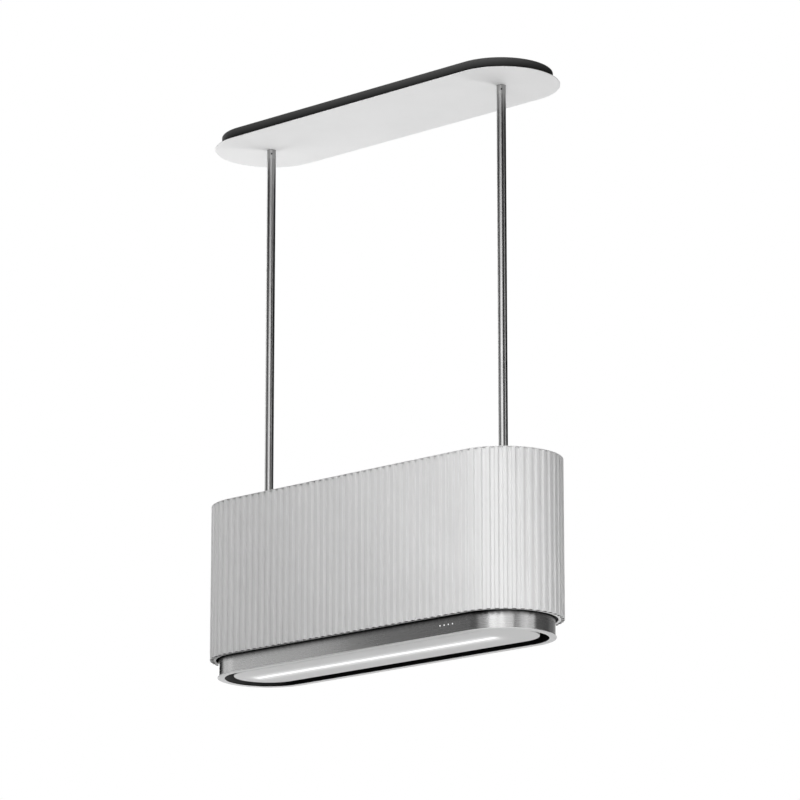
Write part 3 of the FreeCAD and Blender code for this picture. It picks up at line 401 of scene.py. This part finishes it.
def carbon_mat(name):
    """Granules of activated carbon held in an open mat."""
    n = Nodes(name)
    grains = n.add("ShaderNodeTexVoronoi", {"Vector": n.stretched(1, 1, 1), "Scale": 420.0})
    tone = n.add("ShaderNodeSeparateColor", {"Color": grains.outputs["Color"]}).outputs["Green"]
    colour = n.mix(tone, grey(0.008), grey(0.05))
    height = n.math("SUBTRACT", 1.0, grains.outputs["Distance"])
    return n.set(Base_Color=colour, Roughness=n.spread(tone, 0.45, 0.8, 0.0, 1.0),
                 Normal=n.bump(height, 0.9, 0.0012))


def circuit_board(name):
    """Green solder mask with plain parallel tracks and tinned spots."""
    n = Nodes(name)
    tracks = n.add("ShaderNodeTexBrick", {
        "Vector": n.stretched(1, 1, 1), "Scale": 60.0, "Mortar Size": 0.06,
        "Color1": (0.012, 0.09, 0.035, 1), "Color2": (0.016, 0.12, 0.045, 1),
        "Mortar": (0.05, 0.22, 0.09, 1)})
    spots = n.add("ShaderNodeTexVoronoi", {"Vector": n.stretched(1, 1, 1), "Scale": 260.0})
    tinned = n.spread(spots.outputs["Distance"], 1.0, 0.0, 0.10, 0.14)
    colour = n.mix(tinned, tracks.outputs["Color"], grey(0.6))
    return n.set(Base_Color=colour, Roughness=n.spread(tinned, 0.32, 0.42, 0.0, 1.0),
                 Normal=n.bump(tracks.outputs["Fac"], 0.3, 0.0001), Coat_Weight=0.3)


def lit_diffuser(name):
    """Frosted acrylic: brightest along its middle, softer towards its sides and ends."""
    low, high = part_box("led_diffuser")
    n = Nodes(name)
    across = n.math("DIVIDE", n.math("SUBTRACT", n.position("Y"), (low.y + high.y) / 2),
                    LIGHT_SPREAD)
    along = n.math("SUBTRACT", n.position("X"), (low.x + high.x) / 2)
    along = n.math("SUBTRACT", n.math("ABSOLUTE", along), (high.x - low.x) / 2 - LIGHT_END)
    along = n.math("DIVIDE", n.math("MAXIMUM", along, 0.0), LIGHT_END_SPREAD)
    away = n.math("ADD", n.math("POWER", across, 2.0), n.math("POWER", along, 2.0))
    glow = n.fade(away)
    frost = n.noise(n.stretched(1, 1, 1), 1500.0, 2.0)
    strength = n.math("ADD", n.math("MULTIPLY", glow, LIGHT_STRENGTH), LIGHT_EDGE)
    strength = n.math("MULTIPLY", strength, n.spread(frost, 0.97, 1.03))
    return n.set(Base_Color=grey(0.5), Roughness=n.spread(frost, 0.45, 0.6),
                 Emission_Color=grey(1.0), Emission_Strength=strength,
                 Normal=n.bump(frost, 0.15, 0.0001))


def lit_guides(name):
    """Light guides: four dots bright in their middles, then a bar and an arc that barely glow."""
    low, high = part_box("touch_light_guides")
    n = Nodes(name)
    faint = n.math("GREATER_THAN", n.position("X"), FAINT_FROM)
    frost = n.noise(n.stretched(1, 1, 1), 2500.0, 2.0)
    across = n.math("DIVIDE", n.math("SUBTRACT", n.position("X"), DOT_FIRST), DOT_PITCH)
    across = n.math("SUBTRACT", n.math("FRACT", n.math("ADD", across, 0.5)), 0.5)
    across = n.math("MULTIPLY", across, DOT_PITCH / DOT_SPREAD)
    up = n.math("SUBTRACT", n.position("Z"), (low.z + high.z) / 2)
    up = n.math("DIVIDE", up, DOT_SPREAD)
    away = n.math("ADD", n.math("POWER", across, 2.0), n.math("POWER", up, 2.0))
    spot = n.fade(away)
    bright = n.math("MULTIPLY", spot, n.math("SUBTRACT", 1.0, faint))
    strength = n.math("ADD", n.math("MULTIPLY", bright, DOT_STRENGTH),
                      n.math("MULTIPLY", faint, ICON_STRENGTH))
    strength = n.math("MULTIPLY", strength, n.spread(frost, 0.93, 1.07))
    return n.set(Base_Color=grey(0.12), Roughness=n.spread(frost, 0.3, 0.45),
                 Emission_Color=grey(1.0), Emission_Strength=strength,
                 Normal=n.bump(frost, 0.1, 0.0001))


def make_materials():
    return {
        "galvanised_steel": galvanised("galvanised_sheet"),
        "black_paint": powder_coat("black_powder_coat", 0.03, 0.55),
        # brighter copy of the white paint: the plate's own white, raised with painted light for its
        # lit underside
        "plate_paint": powder_coat("white_plate_coat_with_painted_light", 0.94, 0.55, specular=0.2),
        # painted light and shade on the ring: lighter top, black foot
        "ring_paint": powder_coat("black_ring_coat", 0.12, 0.6, specular=0.05,
                                  shade=ring_shade),
        # painted light on the slot wall: grey where it faces right
        "slot_paint": powder_coat("black_slot_coat", 0.004, 0.7, specular=0.05,
                                  shade=slot_shade),
        "panel_paint": powder_coat("pale_panel_coat", 0.70, 0.55, shade=lamp_glow),
        "white_paint": powder_coat("white_powder_coat", 0.80, 0.55, specular=0.2),
        # the shroud's and frames' coats carry painted shade in and behind the flutes, and a painted
        # shadow along the front
        "shroud_paint": powder_coat("white_shroud_coat", 0.80, 0.55, specular=0.2,
                                    shade=dark_inside),
        "frame_paint": powder_coat("white_frame_coat", 0.80, 0.55, specular=0.08,
                                   shade=dark_frame),
        "pale_paint": powder_coat("pale_powder_coat", 0.70, 0.55),
        "rim_paint": powder_coat("pale_rim_coat", 0.70, 0.55, shade=dark_slot_edge),
        "brushed_steel": brushed_steel("brushed_band", (5, 5, 1500), tone=0.40, roughness=0.23,
                                       across=0.8, grain=0.6, shade=under_shroud),
        "rod_steel": brushed_steel("brushed_rod", (260, 260, 1.5), tone=0.33, roughness=0.28,
                                   depth=0.000002, across=0.6, grain=0.25),
        "socket_steel": brushed_steel("blasted_socket", (900, 900, 900), tone=0.40, roughness=0.42,
                                      depth=0.0002, across=0.0),
        "black_oxide": brushed_steel("black_oxide", (400, 400, 400), tone=0.035, roughness=0.45,
                                     across=0.0),
        "plated_fasteners": bright_zinc("bright_zinc"),
        "white_nylon": moulded_plastic("white_nylon", 0.75, 0.45),
        "black_rubber": soft_rubber("black_rubber"),
        "grey_plastic": moulded_plastic("dark_grey_plastic", 0.10, 0.5),
        "carbon": carbon_mat("carbon_mat"),
        "aluminium": mill_aluminium("mill_aluminium"),
        "black_plastic": moulded_plastic("black_plastic", 0.025, 0.45),
        "circuit_board": circuit_board("circuit_board"),
        "light_diffuser": lit_diffuser("lit_diffuser"),
        "light_guides": lit_guides("lit_guides"),
    }


# ---- mesh helpers ---------------------------------------------------------------------------
def arc_corner(before, corner, after, radius, steps):
    """Points of a round corner in the plane, or the corner itself when there's no room."""
    a = (Vector(before) - Vector(corner))
    b = (Vector(after) - Vector(corner))
    if radius <= 0 or a.length < 1e-9 or b.length < 1e-9:
        return [tuple(corner)]
    angle = a.angle(b)
    if angle > math.radians(179):
        return [tuple(corner)]
    reach = min(radius / math.tan(angle / 2), a.length * 0.49, b.length * 0.49)
    a.normalize()
    b.normalize()
    start = Vector(corner) + a * reach
    end = Vector(corner) + b * reach
    middle = (a + b).normalized()
    true_radius = reach * math.tan(angle / 2)
    centre = Vector(corner) + middle * (true_radius / math.sin(angle / 2))
    first = start - centre
    last = end - centre
    turn = first.angle(last)
    points = []
    for i in range(steps + 1):
        t = i / steps
        p = (first * math.sin((1 - t) * turn) + last * math.sin(t * turn)) / math.sin(turn)
        points.append(tuple(centre + p))
    return points


def rounded(points, radius, steps=4):
    """Closed plane outline with every corner made round."""
    out = []
    count = len(points)
    for i in range(count):
        out.extend(arc_corner(points[i - 1], points[i], points[(i + 1) % count], radius, steps))
    return out


def stadium_points(length, width, inward, steps=ARC_STEPS, straight=24):
    """Points round a stadium outline moved inward, the same number whatever the inset."""
    r = width / 2.0
    h = length / 2.0 - r
    small = r - inward
    points = []
    for i in range(straight):
        points.append((-h + 2 * h * i / straight, -small))
    for i in range(steps):
        a = math.pi * i / steps
        points.append((h + small * math.sin(a), -small * math.cos(a)))
    for i in range(straight):
        points.append((h - 2 * h * i / straight, small))
    for i in range(steps):
        a = math.pi * i / steps
        points.append((-h - small * math.sin(a), small * math.cos(a)))
    return points


def mesh_object(name, vertices, faces, material, smooth_angle=32.0):
    mesh = bpy.data.meshes.new(name)
    mesh.from_pydata(vertices, [], faces)
    mesh.validate()
    build = bmesh.new()
    build.from_mesh(mesh)
    bmesh.ops.recalc_face_normals(build, faces=build.faces)
    build.to_mesh(mesh)
    build.free()
    return finish_object(name, mesh, material, smooth_angle)


def finish_object(name, mesh, material, smooth_angle=32.0):
    mesh.shade_smooth()
    mesh.set_sharp_from_angle(angle=math.radians(smooth_angle))
    obj = bpy.data.objects.new(name, mesh)
    bpy.context.scene.collection.objects.link(obj)
    mesh.materials.append(material)
    normals = obj.modifiers.new("normals", "WEIGHTED_NORMAL")
    normals.keep_sharp = True
    return obj


def ring_faces(rings, count):
    """Quads that join each ring of points to the next, and the last ring to the first."""
    faces = []
    for i in range(rings):
        j = (i + 1) % rings
        for k in range(count):
            m = (k + 1) % count
            faces.append((i * count + k, i * count + m, j * count + m, j * count + k))
    return faces


def ring_object(name, rings, material, smooth_angle=32.0):
    """Closed surface through a list of rings that have the same number of points."""
    vertices = [point for ring in rings for point in ring]
    faces = ring_faces(len(rings), len(rings[0]))
    return mesh_object(name, vertices, faces, material, smooth_angle)


def stadium_sweep(name, length, width, profile, material):
    """Carries a closed profile of (inward, height) points round a stadium."""
    rings = [[(x, y, z) for x, y in stadium_points(length, width, inward)]
             for inward, z in profile]
    return ring_object(name, rings, material)


def turned(name, x, y, profile, material, steps=96):
    """Turns a closed profile of (radius, height) points about an upright axis at x, y."""
    rings = [circle_points(x, y, radius, z, steps) for radius, z in profile]
    return ring_object(name, rings, material)


def plate_with_holes(name, outer_rings, holes, material):
    """Plate bounded by stacked outer rings, with round or slot holes through it.

    outer_rings are full rings of points from the bottom edge to the top edge; each hole is a pair
    of rings, bottom and top.
    """
    build = bmesh.new()

    def ring_vertices(points):
        return [build.verts.new(p) for p in points]

    def loop_edges(vertices):
        return [build.edges.new((vertices[i], vertices[(i + 1) % len(vertices)]))
                for i in range(len(vertices))]

    def wall(first, second):
        for i in range(len(first)):
            j = (i + 1) % len(first)
            build.faces.new((first[i], first[j], second[j], second[i]))

    outer = [ring_vertices(r) for r in outer_rings]
    for lower, upper in zip(outer, outer[1:]):
        wall(lower, upper)
    bottoms = [outer[0]]
    tops = [outer[-1]]
    for rings in holes:
        made = [ring_vertices(r) for r in rings]
        for lower, upper in zip(made, made[1:]):
            wall(lower, upper)
        bottoms.append(made[0])
        tops.append(made[-1])
    for loops in (bottoms, tops):
        edges = []
        for loop in loops:
            for i in range(len(loop)):
                edge = build.edges.get((loop[i], loop[(i + 1) % len(loop)]))
                edges.append(edge)
        bmesh.ops.triangle_fill(build, edges=edges, use_beauty=True, use_dissolve=False)
    bmesh.ops.recalc_face_normals(build, faces=build.faces)
    mesh = bpy.data.meshes.new(name)
    build.to_mesh(mesh)
    build.free()
    return finish_object(name, mesh, material)


def circle_points(x, y, radius, z, steps=48):
    return [(x + radius * math.cos(2 * math.pi * k / steps),
             y + radius * math.sin(2 * math.pi * k / steps), z) for k in range(steps)]


def size_of(node):
    """Length, width, bottom and top of a CAD node's box."""
    low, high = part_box(node)
    return high.x - low.x, high.y - low.y, low.z, high.z


def rod_centre():
    low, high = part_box("rod_right")
    return (low.x + high.x) / 2


def place(obj, body, node):
    """Puts a piece on its body, in place of a CAD node, which it hides."""
    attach(obj, body)
    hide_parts(node)


# ---- visual pieces --------------------------------------------------------------------------
def make_shroud(material):
    """Fluted skin: flat crests and valleys with small round folds, one sheet thick."""
    length, width, z0, z1 = size_of("fluted_shroud")
    r = width / 2
    loop = 2 * (length - width) + 2 * math.pi * r
    pitch = loop / FLUTE_COUNT
    corners = []
    for k in range(FLUTE_COUNT):
        middle = (k + FLUTE_START) * pitch
        corners.append((middle - FLUTE_FLAT / 2, 0.0))
        corners.append((middle + FLUTE_FLAT / 2, 0.0))
        corners.append((middle + pitch / 2 - FLUTE_FLAT / 2, FLUTE_DEPTH))
        corners.append((middle + pitch / 2 + FLUTE_FLAT / 2, FLUTE_DEPTH))
    closed = [(corners[-1][0] - loop, corners[-1][1])] + corners + [(corners[0][0] + loop, 0.0)]

    def outline(inward, radius):
        points = []
        for i in range(1, len(closed) - 1):
            points.extend(arc_corner(closed[i - 1], closed[i], closed[i + 1], radius, 4))
        return [along_stadium(s, length, width, depth + inward) for s, depth in points]

    outer = outline(0.0, FLUTE_ROUND)
    inner = outline(SHEET, FLUTE_ROUND)
    edge = 0.35 * SHEET
    levels = [z0 + edge, z1 - edge]
    middle = [tuple((a + b) / 2 for a, b in zip(p, q)) for p, q in zip(outer, inner)]
    rings = [
        [(x, y, levels[0]) for x, y in outer],
        [(x, y, levels[1]) for x, y in outer],
        [(x, y, z1) for x, y in middle],
        [(x, y, levels[1]) for x, y in inner],
        [(x, y, levels[0]) for x, y in inner],
        [(x, y, z0) for x, y in middle],
    ]
    obj = ring_object("shroud_skin", rings, material, smooth_angle=50.0)
    place(obj, "hood", "fluted_shroud")


def along_stadium(s, length, width, inward):
    """Point at distance s along a stadium from its front middle, moved inward by a distance."""
    r = width / 2.0
    h = length / 2.0 - r
    loop = 4 * h + 2 * math.pi * r
    s = s % loop
    small = r - inward
    ends = (h, h + math.pi * r, 3 * h + math.pi * r, 3 * h + 2 * math.pi * r)
    if s <= ends[0]:
        return (s, -small)
    if s <= ends[1]:
        a = (s - ends[0]) / r
        return (h + small * math.sin(a), -small * math.cos(a))
    if s <= ends[2]:
        return (h - (s - ends[1]), small)
    if s <= ends[3]:
        a = (s - ends[2]) / r
        return (-h - small * math.sin(a), small * math.cos(a))
    return (s - loop, -small)


def make_ceiling_plate(material):
    """Thin flat sheet with a softened lower edge, and two holes for the rod sockets."""
    length, width, z0, z1 = size_of("ceiling_cover")
    edge = 0.8 * MM
    top_edge = 0.15 * MM
    steps = 4
    outline = []
    for i in range(steps + 1):
        a = math.pi / 2 * i / steps
        outline.append((edge * (1 - math.sin(a)), z0 + edge * (1 - math.cos(a))))
    outline += [(0.0, z1 - top_edge), (top_edge, z1)]
    rings = [[(x, y, z) for x, y in stadium_points(length, width, inward)]
             for inward, z in outline]
    rod = rod_centre()
    holes = []
    for x in (-rod, rod):
        holes.append([circle_points(x, 0, SOCKET_HOLE, z0), circle_points(x, 0, SOCKET_HOLE, z1)])
    obj = plate_with_holes("ceiling_plate", rings, holes, material)
    place(obj, "ceiling_cover", "ceiling_cover")


def make_ceiling_ring(material):
    """Stadium ring of channel section, open towards its middle."""
    length, width, z0, z1 = size_of("ceiling_housing")
    wall = 1.5 * MM
    flange = 10.0 * MM
    points = [(0, z0), (flange, z0), (flange, z0 + wall), (wall, z0 + wall), (wall, z1 - wall),
              (flange, z1 - wall), (flange, z1), (0, z1)]
    obj = stadium_sweep("ceiling_ring", length, width, rounded(points, 0.5 * MM), material)
    place(obj, "hood", "ceiling_housing")


def make_rim(material):
    """Flat rim round the slot, with a leg that stands inside the band."""
    length, width, z0, z1 = size_of("rim")
    flange = (length - SLOT_LENGTH) / 2
    clearance = 0.1 * MM
    leg_out = (length - BAND_INNER_LENGTH) / 2 + clearance
    thick = 2.0 * MM
    leg = 1.2 * MM
    points = [(0, z0), (flange, z0), (flange, z0 + thick), (leg_out + leg, z0 + thick),
              (leg_out + leg, z1), (leg_out, z1), (leg_out, z0 + thick), (0, z0 + thick)]
    obj = stadium_sweep("rim_ring", length, width, rounded(points, 0.6 * MM), material)
    place(obj, "hood", "rim")


def make_liner(material):
    """Thin upright wall round the suction slot."""
    length, width, z0, z1 = size_of("suction_liner")
    wall = 1.2 * MM
    points = [(0, z0), (wall, z0), (wall, z1), (0, z1)]
    obj = stadium_sweep("slot_liner", length, width, rounded(points, 0.25 * MM), material)
    place(obj, "hood", "suction_liner")


def make_lower_frame(material):
    """Ring inside the foot of the flutes, with a lip turned in along its lower edge."""
    length, width, z0, z1 = size_of("shroud_bottom_frame")
    wall = FRAME_SHEET
    points = [(0, z0), (LIP_WIDTH, z0), (LIP_WIDTH, z0 + wall), (wall, z0 + wall), (wall, z1),
              (0, z1)]
    obj = stadium_sweep("lower_frame", length, width, rounded(points, 0.4 * MM), material)
    place(obj, "hood", "shroud_bottom_frame")


def make_upper_frame(material):
    """Ring inside the head of the flutes: a ledge for the top cover, and a flat top edge."""
    length, width, z0, z1 = size_of("shroud_top_frame")
    flutes_top = size_of("fluted_shroud")[3]
    outer = FRAME_INSET
    inner = FRAME_INSET + FRAME_SHEET
    ledge = FRAME_INSET + LEDGE_WIDTH
    ledge_top = z0 + FRAME_LEG
    ledge_bottom = ledge_top - FRAME_SHEET
    points = [(0, flutes_top), (outer, flutes_top), (outer, z0), (inner, z0),
              (inner, ledge_bottom), (ledge, ledge_bottom), (ledge, ledge_top),
              (inner, ledge_top), (inner, z1), (0, z1)]
    obj = stadium_sweep("upper_frame", length, width, rounded(points, 0.3 * MM), material)
    place(obj, "hood", "shroud_top_frame")


def make_rod(node, name, material):
    """Tube with chamfered outer edges, with rings of points along it."""
    low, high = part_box(node)
    x = (low.x + high.x) / 2
    r = (high.x - low.x) / 2
    wall = 1.5 * MM
    chamfer = 0.3 * MM
    z0, z1 = low.z, high.z
    levels = 12
    profile = [(r - wall, z1), (r - wall, z0), (r - chamfer, z0), (r, z0 + chamfer)]
    for i in range(1, levels):
        profile.append((r, z0 + (z1 - z0) * i / levels))
    profile += [(r, z1 - chamfer), (r - chamfer, z1)]
    obj = turned(name, x, 0, profile, material)
    place(obj, "hood", node)


def give_material(node, material, soften=0.0):
    """Puts a material on a CAD node, and rounds its edges a little where that shows."""
    obj = frame["nodes"][node]
    obj.data.materials.clear()
    obj.data.materials.append(material)
    for polygon in obj.data.polygons:
        polygon.material_index = 0
    if soften > 0:
        weld = obj.modifiers.new("weld", "WELD")
        weld.merge_threshold = 0.01 * MM
        bevel = obj.modifiers.new("soft_edges", "BEVEL")
        bevel.width = soften
        bevel.segments = 2
        bevel.limit_method = "ANGLE"
        bevel.angle_limit = math.radians(40)
        normals = obj.modifiers.new("normals", "WEIGHTED_NORMAL")
        normals.keep_sharp = True


# ---- stage ----------------------------------------------------------------------------------
def emission(name, strength):
    """Material that only shines."""
    material = bpy.data.materials.new(name)
    material.use_nodes = True
    tree = material.node_tree
    tree.nodes.clear()
    light = tree.nodes.new("ShaderNodeEmission")
    light.inputs["Strength"].default_value = strength
    output = tree.nodes.new("ShaderNodeOutputMaterial")
    tree.links.new(light.outputs["Emission"], output.inputs["Surface"])
    return material


def floor_glow(n, colour):
    """The floor lies far below the lamps, so it carries its own even light."""
    n.set(Emission_Color=colour, Emission_Strength=1.0)
    return colour


def stage_disc(name, radius, level, material):
    build = bmesh.new()
    bmesh.ops.create_circle(build, cap_ends=True, radius=radius, segments=128)
    bmesh.ops.translate(build, verts=build.verts, vec=(0, 0, level))
    return stage_object(name, build, material)


def stage_object(name, build, material):
    mesh = bpy.data.meshes.new(name)
    build.to_mesh(mesh)
    build.free()
    obj = bpy.data.objects.new(name, mesh)
    bpy.context.scene.collection.objects.link(obj)
    mesh.materials.append(material)
    return obj


def make_stage():
    """Pale floor and white backdrop for the camera, and a card that bounces light up."""
    floor = stage_disc("floor", FLOOR_RADIUS, FLOOR_LEVEL,
                       powder_coat("pale_floor", STAGE_TONE, 0.7, shade=floor_glow))
    card = stage_disc("bounce_card", CARD_RADIUS, CARD_LEVEL,
                      powder_coat("card_white", STAGE_TONE, 0.7))
    card.visible_camera = False
    build = bmesh.new()
    bmesh.ops.create_uvsphere(build, u_segments=48, v_segments=24, radius=BACKDROP_RADIUS)
    backdrop = stage_object("backdrop", build, emission("backdrop_white", 1.0))
    for obj in (floor, backdrop):
        for ray in CAMERA_ONLY:
            setattr(obj, ray, False)


def direction(azimuth, elevation):
    """Unit vector from the object towards a place round it; azimuth 0 is the front, 90 is +X."""
    a = math.radians(azimuth)
    e = math.radians(elevation)
    return Vector((math.sin(a) * math.cos(e), -math.cos(a) * math.cos(e), math.sin(e)))


def softbox(name, azimuth, elevation, distance, width, height, power, aim=LAMP_AIM):
    """Rectangular lamp that faces its aim and isn't seen by the camera."""
    light = bpy.data.lights.new(name, "AREA")
    light.shape = "RECTANGLE"
    light.size = width
    light.size_y = height
    light.energy = power
    obj = bpy.data.objects.new(name, light)
    bpy.context.scene.collection.objects.link(obj)
    centre = Vector(aim)
    obj.location = centre + direction(azimuth, elevation) * distance
    obj.rotation_mode = "QUATERNION"
    obj.rotation_quaternion = (centre - obj.location).to_track_quat("-Z", "Y")
    obj.visible_camera = False


def light_wall(name, lamps, radius, width, low, high):
    """Curved soft wall of light round the hood, made of upright panels.

    lamps is a list of (azimuth, power) pairs, one for each panel.
    """
    middle = Vector((0, 0, (low + high) / 2))
    for azimuth, power in lamps:
        panel = "%s_%d" % (name, azimuth % 360)
        softbox(panel, azimuth, 0, radius, width, high - low, power, middle)


def make_lights():
    """Light walls, two softboxes and a faint world.

    Apart from the lamp called above, the powers and the world's strength weren't set by hand.
    They are the rounded result of a least-squares fit of brightness, made outside this script.
    """
    light_wall("close_low", ((-110, 1.15), (-70, 0.8), (-50, 0.45), (40, 1.0), (60, 1.4),
                             (90, 0.45)),
               CLOSE, CLOSE_PANEL, WALL_LOW, WALL_MIDDLE)
    light_wall("close_high", ((-90, 2.6),), CLOSE, CLOSE_PANEL, WALL_MIDDLE, WALL_HIGH)
    light_wall("near_low", ((80, 1.2),), NEAR, NEAR_PANEL, WALL_LOW, WALL_MIDDLE)
    light_wall("near_high", ((0, 1.5), (20, 3.3), (40, 3.55)),
               NEAR, NEAR_PANEL, WALL_MIDDLE, WALL_HIGH)
    light_wall("far_low", ((-160, 1.95), (-140, 7.05), (-120, 2.8), (-80, 0.9), (-40, 1.15),
                           (120, 0.6), (140, 0.5), (160, 1.0), (180, 1.55)),
               FAR, FAR_PANEL, WALL_LOW, WALL_MIDDLE)
    light_wall("far_high", ((-160, 2.0), (-60, 2.45), (-40, 0.25), (-20, 0.95), (0, 2.0),
                            (20, 3.35), (40, 1.0), (100, 4.1)),
               FAR, FAR_PANEL, WALL_MIDDLE, WALL_HIGH)
    softbox("below_back", 180, -50, 2.4, 1.4, 1.4, 32.0)
    softbox("above", 30, 75, 3.0, 2.2, 2.2, 10)
    world = bpy.data.worlds.new("studio")
    bpy.context.scene.world = world
    world.use_nodes = True
    background = world.node_tree.nodes.get("Background")
    background.inputs["Color"].default_value = (1, 1, 1, 1)
    background.inputs["Strength"].default_value = WORLD_STRENGTH


def make_camera():
    data = bpy.data.cameras.new("camera")
    data.sensor_width = SENSOR
    data.lens = LENS
    data.clip_end = CAMERA_REACH
    camera = bpy.data.objects.new("camera", data)
    bpy.context.scene.collection.objects.link(camera)
    back = direction(CAMERA_AZIMUTH, CAMERA_ELEVATION)
    a = math.radians(CAMERA_AZIMUTH)
    right = Vector((math.cos(a), math.sin(a), 0.0))
    up = right.cross(-back)
    aim = Vector((0, 0, AIM_HEIGHT)) + right * AIM_RIGHT + up * AIM_UP
    camera.location = aim + back * CAMERA_DISTANCE
    camera.rotation_mode = "QUATERNION"
    camera.rotation_quaternion = (-back).to_track_quat("-Z", "Y")
    bpy.context.scene.camera = camera


# ---- the scene ------------------------------------------------------------------------------
def main():
    bpy.context.scene.view_settings.view_transform = "Standard"
    make_camera()
    materials = make_materials()
    slots = {s["node"]: s["material_slot"] for s in frame["record"]["subparts"]}
    for node in frame["nodes"]:
        give_material(node, materials[slots[node]])
    give_material("panel_cover", materials["panel_paint"])
    make_shroud(materials["shroud_paint"])
    make_ceiling_plate(materials["plate_paint"])
    make_ceiling_ring(materials["ring_paint"])
    make_rim(materials["rim_paint"])
    make_liner(materials["slot_paint"])
    make_lower_frame(materials["frame_paint"])
    make_upper_frame(materials["frame_paint"])
    make_rod("rod_left", "left_tube", materials["rod_steel"])
    make_rod("rod_right", "right_tube", materials["rod_steel"])
    give_material("rod_sockets", materials["socket_steel"], 0.3 * MM)
    give_material("grub_screws", materials["black_oxide"])
    make_stage()
    make_lights()


main()
